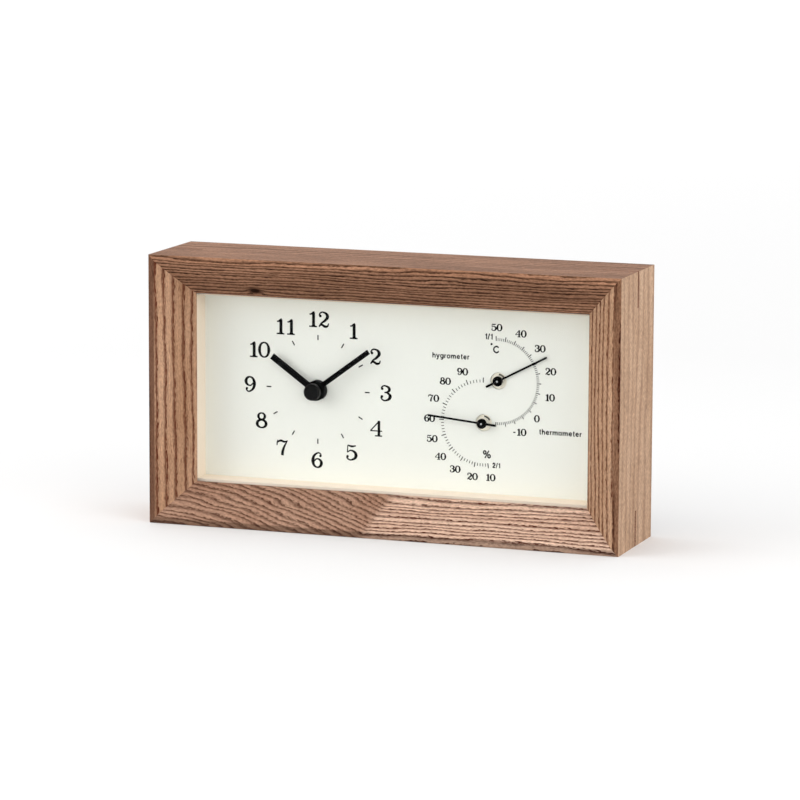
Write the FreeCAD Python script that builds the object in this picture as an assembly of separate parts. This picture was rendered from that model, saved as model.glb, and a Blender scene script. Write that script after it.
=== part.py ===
"""Desk clock with thermometer and hygrometer in a mitred, bevelled timber frame.

Millimetres, +Z up, +X to the right seen from the front, the front face towards -Y.
The origin is the middle of the base. Depths are measured back from the front face,
heights up from the base, and insets inwards from the outside of the frame.
"""
import FreeCAD, Part
import math
import os

from FreeCAD import Vector

# ---------------------------------------------------------------- timber frame
frame_width = 200.0
frame_height = 110.5
frame_depth = 46.0
lip_width = 2.5            # flat strip round the outside of the front
arris_inset = 16.4         # outside of the frame to the inner arris of the bevel
bevel_depth = 11.3         # how far the bevel falls back
bevel_bulge = 0.6          # crown of the bevel's face
arris_land = 0.6           # thickness of wood left in front of the glass
rail_wall = 8.5            # wall beside the rabbet
edge_round = 0.5           # softened outer edges
spline_leg = 14.5          # corner splines: legs on the two outer faces
spline_thickness = 1.6
spline_setback = 23.3      # front face to the middle of the spline

# ---------------------------------------------------------------- glass, liner, dial, back
rabbet_clearance = 0.25
glass_thickness = 2.0
liner_inset = 17.2         # outside of the frame to the long strips' visible faces
side_liner_inset = 15.4    # and to the short strips'
liner_depth = 10.1         # glass to dial
dial_thickness = 2.5
batten_width = 6.5
panel_thickness = 3.0
panel_recess = 3.0         # back panel behind the frame's rear edge
window_clearance = 1.0     # between the movement and the panel's window
screw_radius = 1.4
screw_tip_gap = 3.5        # end of a screw to the dial board
screw_head_radius = 2.8
screw_end_inset = 30.0     # outer screws from the frame's ends
pilot_clearance = 0.05

# ---------------------------------------------------------------- clock position and hands
clock_x = -35.3
clock_height = 55.25
hour_hand_length = 23.0
hour_hand_width = 2.65
minute_hand_length = 29.6
minute_hand_width = 2.05
hand_thickness = 0.45
hour_hand_standoff = 3.2   # dial to the front of the hour hand
hand_gap = 1.6             # between the two hands
hour_hub_radius = 4.1
minute_hub_radius = 2.9
cap_radius = 3.4
cap_height = 2.5
cap_chamfer = 0.6
hour_hand_angle = -54.6    # from twelve, clockwise seen from the front
minute_hand_angle = 53.4

# ---------------------------------------------------------------- movement case
pad_thickness = 0.8
movement_depth = 16.8
case_corner = 3.0
case_wall = 1.5            # front and back walls
side_wall = 1.2
bush_radius = 4.0
bush_standoff = 0.6        # bush in front of the dial
bush_clearance = 0.2       # bush in the dial's hole
cell_radius = 7.25
cell_length = 49.2
cell_nub_radius = 2.75
cell_nub_length = 1.3
cell_chamfer = 0.6
cell_clearance = 0.3       # between the cell and the bay's floor
bay_clearance = 0.35       # between the cell and the bay's walls
contact_thickness = 0.4
contact_width = 6.0
spring_room = 2.3          # from the cell's base to the bay's end wall
spring_touch = 0.05        # between the cell and the spring leaf
spring_flat = 1.6          # leaf's flat top
tab_reach = 3.0            # contact's tab over the circuit board
tab_margin = 1.2           # tab inside the board's edges
cover_lip = 1.2
lip_clearance = 0.15

# ---------------------------------------------------------------- wheels
running_clearance = 0.05   # radial, a pivot in its hole
pipe_clearance = 0.08      # radial, a pipe in its bush
end_shake = 0.3            # axial play
wheel_width = 1.0
wheel_step = 1.65          # from one wheel to the next behind it
pinion_extra = 0.15        # a pinion is wider than its wheel by this at each end
tooth_thinning = 0.06      # backlash, taken off each tooth at the pitch circle
pressure_angle = 20.0
addendum = 0.9             # in modules
dedendum = 1.1             # in modules
most_pinion_teeth = 12     # gears of up to so many teeth get flanks in two steps
pivot_radius = 0.35
arbor_radius = 1.0         # minute arbor
arbor_tip_radius = 0.8
pipe_radius = 2.42         # outside of the hour wheel's pipe
post_radius = 1.0
works_post_radius = 0.7
stem_radius = 1.1
knob_radius = 4.5
knob_thickness = 1.3
knob_flutes = 18
knob_flute_depth = 0.35
magnet_radius = 2.8
magnet_length = 2.6
magnet_bore = 0.8
train_plate_thickness = 1.0

rotor_teeth = 8
intermediate_teeth = 40
intermediate_pinion_teeth = 10
seconds_teeth = 60
seconds_pinion_teeth = 8
third_teeth = 60
third_pinion_teeth = 8
centre_teeth = 64
cannon_teeth = 12
works_teeth = 36
works_pinion_teeth = 10
hour_teeth = 40
setting_teeth = 12

third_distance = 9.36      # centre arbor to third arbor
third_bearing = 185.0      # directions of the arbors, from +X towards +Z
intermediate_distance = 9.8
intermediate_bearing = 20.0
rotor_distance = 6.24      # intermediate arbor to rotor
rotor_bearing = -60.0
works_distance = 7.5
works_bearing = 105.0
setting_bearing = 95.0     # from the works arbor, at the same distance

left_post_reach = 18.5     # train plate's posts, out and up from the centre arbor
left_post_rise = 8.5
right_post_reach = 9.5
right_post_rise = 12.0
low_post_reach = 4.5       # the third post stands against the bay's wall
plate_margin = 2.0         # train plate round its posts and pivots
wheel_room = 1.1           # lowest wheel to the bay's wall
arbor_head = 0.3           # collar behind the centre wheel

# ---------------------------------------------------------------- coil, stator, circuit
coil_gap = 0.37            # coil's flange to the stator's ring
coil_wall_gap = 0.9        # coil's flange to the case's side wall
coil_radius = 4.0
coil_length = 24.1
core_wall_gap = 0.6        # end of the core to the bay's wall
bobbin_wall = 0.7
flange_radius = 4.4
flange_thickness = 0.8
core_width = 3.0
core_thickness = 1.0
stator_thickness = 1.0
stator_arm = 2.4
stator_rim = 1.2
magnet_gap = 0.4
board_end_gap = 1.0
board_gap = 1.4            # circuit board above the coil's core
board_height = 6.0
board_post_inset = 4.0
board_thickness = 0.8
board_standoff = 2.5
chip_radius = 2.2
chip_height = 1.0
crystal_radius = 1.0
crystal_length = 6.0

# ---------------------------------------------------------------- instruments
thermometer_x = 42.15
thermometer_height = 63.4
hygrometer_x = 36.05
hygrometer_height = 46.05
thermometer_angle = 27.7   # pointers at rest, from +X towards +Z
hygrometer_angle = 174.7
thermometer_standoff = 0.7  # dial to the back of the pointer's boss
hygrometer_standoff = 2.2
instrument_radius = 8.4
instrument_plate = 0.8
instrument_wall = 0.6
instrument_depth = 7.2
instrument_bush = 3.3
dial_hole_clearance = 0.15
instrument_setback = 0.5   # bush behind the dial's face
slot_radius = 2.55
slot_width = 0.7
slot_depth = 1.0
slot_middle = 57.0         # bearing of the adjuster slot's middle, and half its arc
slot_half_arc = 32.0
spindle_radius = 0.4
collar_radius = 1.2
coil_turns = 4
ribbon_thickness = 0.25
ribbon_width = 3.0
ribbon_gap = 1.2           # case's plate to the coil
anchor_reach = 1.2
anchor_width = 1.5
bridge_width = 5.0
bridge_thickness = 0.8
pointer_reach = 23.1
pointer_width = 0.78
pointer_tail = 5.6
tail_width = 0.9
pointer_thickness = 0.3
boss_radius = 2.0
boss_height = 1.2
boss_chamfer = 0.3
spindle_proud = 0.15
vent_radius = 2.5
vent_spacing = 14.0

# ---------------------------------------------------------------- depths worked out
front_y = -frame_depth / 2
glass_front = bevel_depth + arris_land
glass_back = glass_front + glass_thickness
dial_front = glass_back + liner_depth
dial_back = dial_front + dial_thickness
panel_back = frame_depth - panel_recess
panel_front = panel_back - panel_thickness
screw_tip = dial_back + screw_tip_gap
case_front = dial_back + pad_thickness
case_back = case_front + movement_depth
cover_front = case_back - case_wall
rabbet_inset = rail_wall + rabbet_clearance
bay_length = 2 * contact_thickness + cell_nub_length + cell_length + spring_room
bay_height = 2 * (cell_radius + bay_clearance)

hour_hand_front = dial_front - hour_hand_standoff
minute_hand_back = hour_hand_front - hand_gap
minute_hand_front = minute_hand_back - hand_thickness
cap_front = minute_hand_front - cap_height


def level(number):
    """Depth of the front of the wheel on a level, counted back from the case's front wall."""
    return case_front + case_wall + end_shake + number * wheel_step


hour_level = level(0)
works_level = level(1)
centre_level = level(2)
third_level = level(3)
seconds_level = level(4)
intermediate_level = level(5)
plate_front = level(6)
plate_back = plate_front + train_plate_thickness
stator_front = centre_level + wheel_width + end_shake
stator_back = stator_front + stator_thickness
floor_depth = case_front + case_wall


def offset(start, distance, bearing):
    """The point at a distance and bearing from another."""
    angle = math.radians(bearing)
    return (start[0] + distance * math.cos(angle), start[1] + distance * math.sin(angle))


centre = (clock_x, clock_height)
third = offset(centre, third_distance, third_bearing)
intermediate = offset(centre, intermediate_distance, intermediate_bearing)
rotor = offset(intermediate, rotor_distance, rotor_bearing)
works = offset(centre, works_distance, works_bearing)
setting = offset(works, works_distance, setting_bearing)
thermometer = (thermometer_x, thermometer_height)
hygrometer = (hygrometer_x, hygrometer_height)


def module_for(distance, teeth, other_teeth):
    return 2 * distance / (teeth + other_teeth)


def root_radius(teeth, module):
    return module * teeth / 2 - dedendum * module


def tip_radius(teeth, module):
    return module * teeth / 2 + addendum * module


train_module = module_for(third_distance, seconds_pinion_teeth, third_teeth)
centre_module = module_for(third_distance, third_pinion_teeth, centre_teeth)
seconds_module = module_for(intermediate_distance, intermediate_pinion_teeth, seconds_teeth)
rotor_module = module_for(rotor_distance, rotor_teeth, intermediate_teeth)
works_module = module_for(works_distance, cannon_teeth, works_teeth)
hour_module = module_for(works_distance, works_pinion_teeth, hour_teeth)

# heights in the movement: the cell's bay under the wheels, the circuit board over the coil
chamber_bottom = third[1] - tip_radius(third_teeth, train_module) - wheel_room
bay_top = chamber_bottom - side_wall
bay_bottom = bay_top - bay_height
core_low = chamber_bottom + core_wall_gap
coil_low = core_low + stator_arm
coil_high = coil_low + coil_length
core_high = coil_high + stator_arm
board_low = core_high + board_gap
board_high = board_low + board_height
board_middle = (board_low + board_high) / 2
chamber_top = board_high + end_shake
case_low = bay_bottom - side_wall
case_high = chamber_top + side_wall

# across the movement: the coil beside the rotor, then the wall, with the bay as long as the cell needs
stator_ring = magnet_radius + magnet_gap + stator_rim
coil_x = rotor[0] + stator_ring + coil_gap + flange_radius
inner_right = coil_x + flange_radius + coil_wall_gap
inner_left = inner_right - bay_length
case_left = inner_left - side_wall
case_right = inner_right + side_wall
case_middle = (case_left + case_right) / 2

cell_left = inner_left + 2 * contact_thickness
cell_right = cell_left + cell_nub_length + cell_length
cell_depth = floor_depth + cell_clearance + cell_radius
cell_height = bay_bottom + bay_height / 2
contact_front = cell_depth - contact_width / 2
contact_back = cell_depth + contact_width / 2
contact_low = bay_bottom + bay_height / 4
contact_high = bay_top - bay_height / 4
board_front = floor_depth + board_standoff
board_back = board_front + board_thickness
board_width = bay_length - 2 * board_end_gap
core_depth = stator_back + core_thickness / 2
magnet_front = stator_front + stator_thickness / 2 - magnet_length / 2
magnet_back = magnet_front + magnet_length
arbor_back = centre_level + wheel_width + running_clearance + arbor_head
plate_pivot_end = plate_back + end_shake / 2

board_reach = board_width / 2 - board_post_inset
board_posts = [(case_middle + shift, board_middle) for shift in (-board_reach, 0, board_reach)]
stator_posts = [(coil_x, core_low + stator_arm / 2), (coil_x, core_high - stator_arm / 2)]
plate_posts = [(clock_x - left_post_reach, clock_height + left_post_rise),
               (clock_x + right_post_reach, clock_height + right_post_rise),
               (clock_x + low_post_reach, chamber_bottom + post_radius + running_clearance)]


# ---------------------------------------------------------------- building blocks
def cylinder(radius, start, stop, place):
    """A cylinder along the depth, between two depths."""
    base = Vector(place[0], front_y + start, place[1])
    return Part.makeCylinder(radius, stop - start, base, Vector(0, 1, 0))


def block(left, right, start, stop, low, high):
    """A box between two x, two depths and two heights."""
    return Part.makeBox(right - left, stop - start, high - low, Vector(left, front_y + start, low))


def prism(points, start, stop):
    """A polygon of x and height, drawn between two depths."""
    corners = [Vector(x, front_y + start, z) for x, z in points]
    face = Part.Face(Part.makePolygon(corners + corners[:1]))
    return face.extrude(Vector(0, stop - start, 0))


def bar(place, bearing, reach, tail, width, start, stop):
    """A flat bar with square ends that points along a bearing."""
    box = block(-tail, reach, start, stop, -width / 2, width / 2)
    box.rotate(Vector(0, 0, 0), Vector(0, 1, 0), -bearing)
    box.translate(Vector(place[0], 0, place[1]))
    return box


def rounded_along_depth(solid, radius, keep=lambda edge: True):
    """Rounds the edges that run front to back."""
    edges = [e for e in solid.Edges if e.BoundBox.YLength > 0.1 and e.BoundBox.XLength < 1e-6
             and e.BoundBox.ZLength < 1e-6 and keep(e)]
    return solid.makeFillet(radius, edges)


def save(shapes):
    """Writes each node's STEP file."""
    for node, shape in shapes.items():
        shape.exportStep("parts/" + node + ".step")


# ---------------------------------------------------------------- mitred rails
def mitred(section, length, reach):
    """A strip along X with its outside at height 0, mitred at both ends over its reach.

    The section gives (inset, depth) points; a point of three values starts with "arc"
    and is passed on the way to the next one.
    """
    edges = []
    here = section[0]
    middle = None
    for point in section[1:] + section[:1]:
        if point[0] == "arc":
            middle = point[1:]
            continue
        start = Vector(-length / 2, front_y + here[1], here[0])
        stop = Vector(-length / 2, front_y + point[1], point[0])
        if middle:
            between = Vector(-length / 2, front_y + middle[1], middle[0])
            edges.append(Part.Arc(start, between, stop).toShape())
        else:
            edges.append(Part.makeLine(start, stop))
        here = point
        middle = None
    strip = Part.Face(Part.Wire(edges)).extrude(Vector(length, 0, 0))
    half_length = length / 2
    outline = [(-half_length, 0), (half_length, 0), (half_length - reach, reach),
               (-half_length + reach, reach)]
    return strip.common(prism(outline, 0, frame_depth)).Solids[0]


def turned(strip, side):
    """Places a bottom strip on one of the four sides of the frame."""
    turns = {"bottom": 0, "left": 90, "top": 180, "right": -90}
    strip = strip.copy()
    strip.rotate(Vector(0, 0, 0), Vector(0, 1, 0), turns[side])
    places = {"bottom": (0, 0), "left": (-frame_width / 2, frame_height / 2),
              "top": (0, frame_height), "right": (frame_width / 2, frame_height / 2)}
    x, z = places[side]
    strip.translate(Vector(x, 0, z))
    return strip


def side_length(side):
    return frame_width if side in ("top", "bottom") else frame_height


def rail_section():
    """Rounded outer edges, front lip, crowned bevel, land, rabbet and back wall."""
    near = edge_round * (1 - math.sqrt(0.5))
    slope = math.atan2(bevel_depth, arris_inset - lip_width)
    crown = ((lip_width + arris_inset) / 2 + bevel_bulge * math.sin(slope),
             bevel_depth / 2 - bevel_bulge * math.cos(slope))
    return [(0, edge_round), ("arc", near, near), (edge_round, 0), (lip_width, 0),
            ("arc",) + crown, (arris_inset, bevel_depth), (arris_inset, glass_front),
            (rail_wall, glass_front), (rail_wall, frame_depth),
            (edge_round, frame_depth), ("arc", near, frame_depth - near),
            (0, frame_depth - edge_round)]


def corner_splines():
    """Four triangular keys let into the outer corners of the mitres."""
    start = spline_setback - spline_thickness / 2
    stop = start + spline_thickness
    keys = []
    for x, inwards in ((-frame_width / 2, 1), (frame_width / 2, -1)):
        for z, up in ((0, 1), (frame_height, -1)):
            points = [(x, z), (x + inwards * spline_leg, z), (x, z + up * spline_leg)]
            keys.append(prism(points, start, stop))
    return Part.makeCompound(keys)


def timber_frame():
    splines = corner_splines()
    names = {"bottom": "bottom_rail", "left": "left_stile", "top": "top_rail",
             "right": "right_stile"}
    shapes = {"corner_splines": splines}
    for side, name in names.items():
        rail = turned(mitred(rail_section(), side_length(side), arris_inset), side)
        shapes[name] = rail.cut(splines)
    return shapes


def reveal_liner():
    """Four strips between the glass and the dial, the short ones butted between the long ones."""
    left = -frame_width / 2 + rabbet_inset
    window_left = -frame_width / 2 + side_liner_inset
    high = frame_height - rabbet_inset
    window_high = frame_height - liner_inset
    return {
        "bottom_liner": block(left, -left, glass_back, dial_front, rabbet_inset, liner_inset),
        "top_liner": block(left, -left, glass_back, dial_front, window_high, high),
        "left_liner": block(left, window_left, glass_back, dial_front, liner_inset, window_high),
        "right_liner": block(-window_left, -left, glass_back, dial_front, liner_inset, window_high),
    }


def sheet(start, stop):
    """A sheet that fills the rabbet."""
    return block(-frame_width / 2 + rabbet_inset, frame_width / 2 - rabbet_inset, start, stop,
                 rabbet_inset, frame_height - rabbet_inset)


def dial_board():
    board = sheet(dial_front, dial_back)
    board = board.cut(cylinder(bush_radius + bush_clearance, dial_front, dial_back, centre))
    for place in (thermometer, hygrometer):
        board = board.cut(cylinder(instrument_bush + dial_hole_clearance, dial_front, dial_back, place))
    return board


# ---------------------------------------------------------------- battens, back panel, screws
def screw_places():
    """Two screws into the top batten and two into the bottom one."""
    inset = rabbet_inset + batten_width / 2
    reach = frame_width / 2 - screw_end_inset
    return [(x, z) for z in (inset, frame_height - inset) for x in (-reach, reach)]


def battens():
    """Packing strips that hold the dial forward and carry the back panel."""
    left = -frame_width / 2 + rabbet_inset
    low = rabbet_inset
    high = frame_height - rabbet_inset
    inner_low = low + batten_width
    inner_high = high - batten_width
    shapes = {
        "bottom_batten": block(left, -left, dial_back, panel_front, low, inner_low),
        "top_batten": block(left, -left, dial_back, panel_front, inner_high, high),
        "left_batten": block(left, left + batten_width, dial_back, panel_front, inner_low, inner_high),
        "right_batten": block(-left - batten_width, -left, dial_back, panel_front, inner_low, inner_high),
    }
    for name in ("bottom_batten", "top_batten"):
        for place in screw_places():
            pilot = cylinder(screw_radius + pilot_clearance, screw_tip - pilot_clearance, panel_front, place)
            shapes[name] = shapes[name].cut(pilot)
    return shapes


def countersink(place, grow):
    """A screw's conical head under the panel's face."""
    height = screw_head_radius - screw_radius
    base = Vector(place[0], front_y + panel_back - height, place[1])
    return Part.makeCone(screw_radius + grow, screw_head_radius + grow, height, base, Vector(0, 1, 0))


def back_panel():
    panel = sheet(panel_front, panel_back)
    gap = window_clearance
    window = block(case_left - gap, case_right + gap, panel_front, panel_back, case_low - gap,
                   case_high + gap)
    panel = panel.cut(rounded_along_depth(window, case_corner))
    holes = []
    for place in screw_places():
        holes.append(cylinder(screw_radius + pilot_clearance, panel_front, panel_back, place))
        holes.append(countersink(place, 0))
    middle = ((thermometer[0] + hygrometer[0]) / 2, (thermometer[1] + hygrometer[1]) / 2)
    spots = [offset(middle, vent_spacing * step, 0) for step in (-1, 0, 1)]
    holes += [cylinder(vent_radius, panel_front, panel_back, spot) for spot in spots]
    for hole in holes:
        panel = panel.cut(hole)
    return panel


def back_panel_screws():
    screws = []
    for place in screw_places():
        neck = panel_back - screw_head_radius + screw_radius
        shank = cylinder(screw_radius, screw_tip, neck, place)
        screws.append(shank.fuse(countersink(place, 0)).removeSplitter())
    return Part.makeCompound(screws)


# ---------------------------------------------------------------- toothed wheels
def half_angle(radius, teeth, module):
    """Half of a tooth's angle at a radius, on an involute flank that turns radial at its base."""
    pitch = module * teeth / 2
    slant = math.radians(pressure_angle)
    base = pitch * math.cos(slant)
    thickness = math.pi * module / 2 - tooth_thinning
    here = math.acos(min(1.0, base / max(radius, base)))
    return thickness / (2 * pitch) + (math.tan(slant) - slant) - (math.tan(here) - here)


def toothed(teeth, module, phase, place, start, width):
    """A spur gear's solid. The phase is the bearing of one tooth's middle, in degrees."""
    pitch = module * teeth / 2
    radii = [root_radius(teeth, module), tip_radius(teeth, module)]
    if teeth <= most_pinion_teeth:
        radii.insert(1, pitch)
    points = []
    for number in range(teeth):
        middle = math.radians(phase) + 2 * math.pi * number / teeth
        flank = [(r, middle - half_angle(r, teeth, module)) for r in radii]
        flank += [(r, middle + half_angle(r, teeth, module)) for r in reversed(radii)]
        points += [(place[0] + r * math.cos(a), place[1] + r * math.sin(a)) for r, a in flank]
    return prism(points, start, start + width)


def meshing_phase(teeth, phase, other_teeth, bearing):
    """The phase of a gear that meshes, along a bearing, with a gear of known phase."""
    return bearing + 180 + 180 / other_teeth - (phase - bearing) * teeth / other_teeth


def pinion(teeth, module, phase, place, wheel_start):
    """A pinion for the wheel that starts at a depth, a little wider than it."""
    return toothed(teeth, module, phase, place, wheel_start - pinion_extra, wheel_width + 2 * pinion_extra)


def fused(first, *others):
    for other in others:
        first = first.fuse(other)
    return first.removeSplitter()


def minute_arbor():
    """Arbor with the cannon pinion, the seat of the minute hand and a collar for the centre wheel."""
    teeth = pinion(cannon_teeth, works_module, 0, centre, works_level)
    shaft = cylinder(arbor_radius, minute_hand_back, arbor_back, centre)
    tip = cylinder(arbor_tip_radius, cap_front + cap_height / 2, minute_hand_back, centre)
    shoulder = cylinder(root_radius(cannon_teeth, works_module), works_level, centre_level - running_clearance,
                        centre)
    collar = cylinder(arbor_radius + arbor_head, arbor_back - arbor_head, arbor_back, centre)
    arbor = fused(shaft, tip, teeth, shoulder, collar)
    socket = cylinder(pivot_radius + running_clearance, centre_level, arbor_back, centre)
    return arbor.cut(socket)


def centre_wheel():
    phase = 0
    wheel = toothed(centre_teeth, centre_module, phase, centre, centre_level, wheel_width)
    return wheel.cut(cylinder(arbor_radius + running_clearance, centre_level, arbor_back, centre))


def third_wheel():
    pinion_phase = meshing_phase(centre_teeth, 0, third_pinion_teeth, third_bearing)
    small = pinion(third_pinion_teeth, centre_module, pinion_phase, third, centre_level)
    wheel = toothed(third_teeth, train_module, 0, third, third_level, wheel_width)
    hub = cylinder(root_radius(third_pinion_teeth, centre_module), centre_level, third_level, third)
    arbor = cylinder(pivot_radius, centre_level - 3 * pivot_radius - end_shake, plate_pivot_end, third)
    return fused(wheel, small, hub, arbor)


def seconds_wheel():
    pinion_phase = meshing_phase(third_teeth, 0, seconds_pinion_teeth, third_bearing + 180)
    small = pinion(seconds_pinion_teeth, train_module, pinion_phase, centre, third_level)
    wheel = toothed(seconds_teeth, seconds_module, 0, centre, seconds_level, wheel_width)
    hub = cylinder(root_radius(seconds_pinion_teeth, train_module), third_level, seconds_level, centre)
    arbor = cylinder(pivot_radius, centre_level + end_shake, plate_pivot_end, centre)
    return fused(wheel, small, hub, arbor)


def intermediate_wheel():
    pinion_phase = meshing_phase(seconds_teeth, 0, intermediate_pinion_teeth, intermediate_bearing)
    small = pinion(intermediate_pinion_teeth, seconds_module, pinion_phase, intermediate, seconds_level)
    wheel = toothed(intermediate_teeth, rotor_module, 0, intermediate, intermediate_level, wheel_width)
    hub = cylinder(root_radius(intermediate_pinion_teeth, seconds_module), seconds_level,
                   intermediate_level, intermediate)
    arbor = cylinder(pivot_radius, seconds_level - 3 * pivot_radius - end_shake, plate_pivot_end, intermediate)
    return fused(wheel, small, hub, arbor)


def rotor_pinion():
    """Plastic arbor with the pinion, moulded through the magnet."""
    phase = meshing_phase(intermediate_teeth, 0, rotor_teeth, rotor_bearing)
    small = pinion(rotor_teeth, rotor_module, phase, rotor, intermediate_level)
    core = cylinder(magnet_bore, magnet_front, magnet_back, rotor)
    neck = cylinder(root_radius(rotor_teeth, rotor_module), magnet_back, intermediate_level, rotor)
    arbor = cylinder(pivot_radius, magnet_front - 3 * pivot_radius - end_shake, plate_pivot_end, rotor)
    return fused(small, core, neck, arbor)


def rotor_magnet():
    ring = cylinder(magnet_radius, magnet_front, magnet_back, rotor)
    return ring.cut(cylinder(magnet_bore, magnet_front, magnet_back, rotor))


works_phase = meshing_phase(cannon_teeth, 0, works_teeth, works_bearing)


def minute_works_wheel():
    wheel = toothed(works_teeth, works_module, works_phase, works, works_level, wheel_width)
    small = toothed(works_pinion_teeth, hour_module, 0, works, hour_level - pinion_extra,
                    works_level - hour_level + pinion_extra)
    bore = cylinder(works_post_radius + running_clearance, hour_level - pinion_extra,
                    works_level + wheel_width, works)
    return fused(wheel, small).cut(bore)


def hour_wheel():
    """Wheel and pipe in one piece; the pipe carries the hour hand in front of the dial."""
    phase = meshing_phase(works_pinion_teeth, 0, hour_teeth, works_bearing + 180)
    wheel = toothed(hour_teeth, hour_module, phase, centre, hour_level, wheel_width)
    pipe = cylinder(pipe_radius, hour_hand_front, hour_level, centre)
    bore = cylinder(arbor_radius + running_clearance, hour_hand_front, hour_level + wheel_width, centre)
    return fused(wheel, pipe).cut(bore)


def setting_stem():
    """Stem that turns the motion works from the back."""
    phase = meshing_phase(works_teeth, works_phase, setting_teeth, setting_bearing)
    small = pinion(setting_teeth, works_module, phase, setting, works_level)
    stem = cylinder(stem_radius, works_level, case_back + end_shake, setting)
    pivot = cylinder(works_post_radius, floor_depth + end_shake, works_level, setting)
    return fused(small, stem, pivot)


def setting_knob():
    """Fluted disc on the end of the stem."""
    points = []
    for number in range(2 * knob_flutes):
        radius = knob_radius if number % 2 else knob_radius - knob_flute_depth
        points.append(offset(setting, radius, 180 * number / knob_flutes))
    start = case_back + end_shake
    return prism(points, start, start + knob_thickness)


# ---------------------------------------------------------------- hands
def hour_hand():
    bearing = 90 - hour_hand_angle
    back = hour_hand_front + hand_thickness
    blade = bar(centre, bearing, hour_hand_length, 0, hour_hand_width, hour_hand_front, back)
    hub = cylinder(hour_hub_radius, hour_hand_front, back, centre)
    collar = cylinder(pipe_radius + hand_thickness, back, back + 2 * hand_thickness, centre)
    bore = cylinder(pipe_radius, hour_hand_front, back + 2 * hand_thickness, centre)
    return fused(blade, hub, collar).cut(bore)


def minute_hand():
    bearing = 90 - minute_hand_angle
    blade = bar(centre, bearing, minute_hand_length, 0, minute_hand_width, minute_hand_front,
                minute_hand_back)
    hub = cylinder(minute_hub_radius, minute_hand_front, minute_hand_back, centre)
    bore = cylinder(arbor_tip_radius, minute_hand_front, minute_hand_back, centre)
    return fused(blade, hub).cut(bore)


def hub_cap():
    """Cap with a bevelled rim, pressed on the arbor's tip."""
    cap = cylinder(cap_radius, cap_front, minute_hand_front, centre)
    rim = [e for e in cap.Edges if abs(e.BoundBox.YMax - (front_y + cap_front)) < 1e-6]
    cap = cap.makeChamfer(cap_chamfer, rim)
    return cap.cut(cylinder(arbor_tip_radius, cap_front + cap_height / 2, minute_hand_front, centre))


# ---------------------------------------------------------------- movement case
def movement_base():
    """Tray with the shaft bush, the posts of the arbors and an open bay for the cell."""
    tray = block(case_left, case_right, case_front, cover_front, case_low, case_high)
    tray = rounded_along_depth(tray, case_corner)
    chamber = block(inner_left, inner_right, floor_depth, cover_front, chamber_bottom, chamber_top)
    corner = case_corner - side_wall
    chamber = rounded_along_depth(chamber, corner, lambda e: e.CenterOfMass.z > clock_height)
    bay = block(inner_left, inner_right, floor_depth, cover_front, bay_bottom, bay_top)
    bay = rounded_along_depth(bay, corner, lambda e: e.CenterOfMass.z < cell_height)
    tray = tray.cut(chamber).cut(bay)
    for inner in (inner_left, inner_right - 2 * contact_thickness):
        slot = block(inner, inner + 2 * contact_thickness, contact_front, contact_back, bay_top,
                     chamber_bottom)
        tray = tray.cut(slot)
    posts = [
        cylinder(bush_radius, dial_front - bush_standoff, case_front, centre),
        cylinder(post_radius, floor_depth, centre_level - pinion_extra - end_shake, third),
        cylinder(post_radius, floor_depth, seconds_level - pinion_extra - end_shake, intermediate),
        cylinder(post_radius, floor_depth, magnet_front - end_shake, rotor),
        cylinder(works_post_radius, floor_depth, centre_level - end_shake, works),
        cylinder(works_post_radius + post_radius, floor_depth, works_level - pinion_extra - end_shake,
                 setting),
    ]
    posts += [cylinder(post_radius, floor_depth, plate_front, place) for place in plate_posts]
    posts += [cylinder(post_radius / 2, plate_front, plate_back, place) for place in plate_posts]
    posts += [cylinder(post_radius, floor_depth, stator_front, place) for place in stator_posts]
    posts += [cylinder(post_radius, floor_depth, board_front, place) for place in board_posts]
    tray = fused(tray, *posts)
    bores = [
        cylinder(pipe_radius + pipe_clearance, dial_front - bush_standoff, floor_depth, centre),
        cylinder(pivot_radius + running_clearance, floor_depth + end_shake,
                 centre_level - pinion_extra - end_shake, third),
        cylinder(pivot_radius + running_clearance, seconds_level - 2 * wheel_step,
                 seconds_level - pinion_extra - end_shake, intermediate),
        cylinder(pivot_radius + running_clearance, floor_depth + end_shake, magnet_front - end_shake, rotor),
        cylinder(works_post_radius + running_clearance, floor_depth, works_level - pinion_extra - end_shake,
                 setting),
    ]
    for bore in bores:
        tray = tray.cut(bore)
    return tray


def movement_cover():
    """Lid over the wheels; the cell's bay stays open."""
    lid = block(case_left, case_right, cover_front, case_back, bay_top, case_high)
    lid = rounded_along_depth(lid, case_corner, lambda e: e.CenterOfMass.z > clock_height)
    rings = []
    for gap in (lip_clearance, lip_clearance + side_wall):
        rings.append(block(inner_left + gap, inner_right - gap, cover_front - cover_lip, cover_front,
                           chamber_bottom + gap, chamber_top - gap))
    outer, inner = rings
    outer = rounded_along_depth(outer, case_corner - side_wall)
    lid = fused(lid, outer.cut(inner))
    return lid.cut(cylinder(stem_radius + pipe_clearance, cover_front, case_back, setting))


def mounting_pad():
    """Foam pad that sticks the movement to the back of the dial."""
    inset = case_corner
    pad = block(case_left + inset, case_right - inset, dial_back, case_front, case_low + inset,
                case_high - inset)
    return pad.cut(cylinder(bush_radius + bush_clearance, dial_back, case_front, centre))


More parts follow.
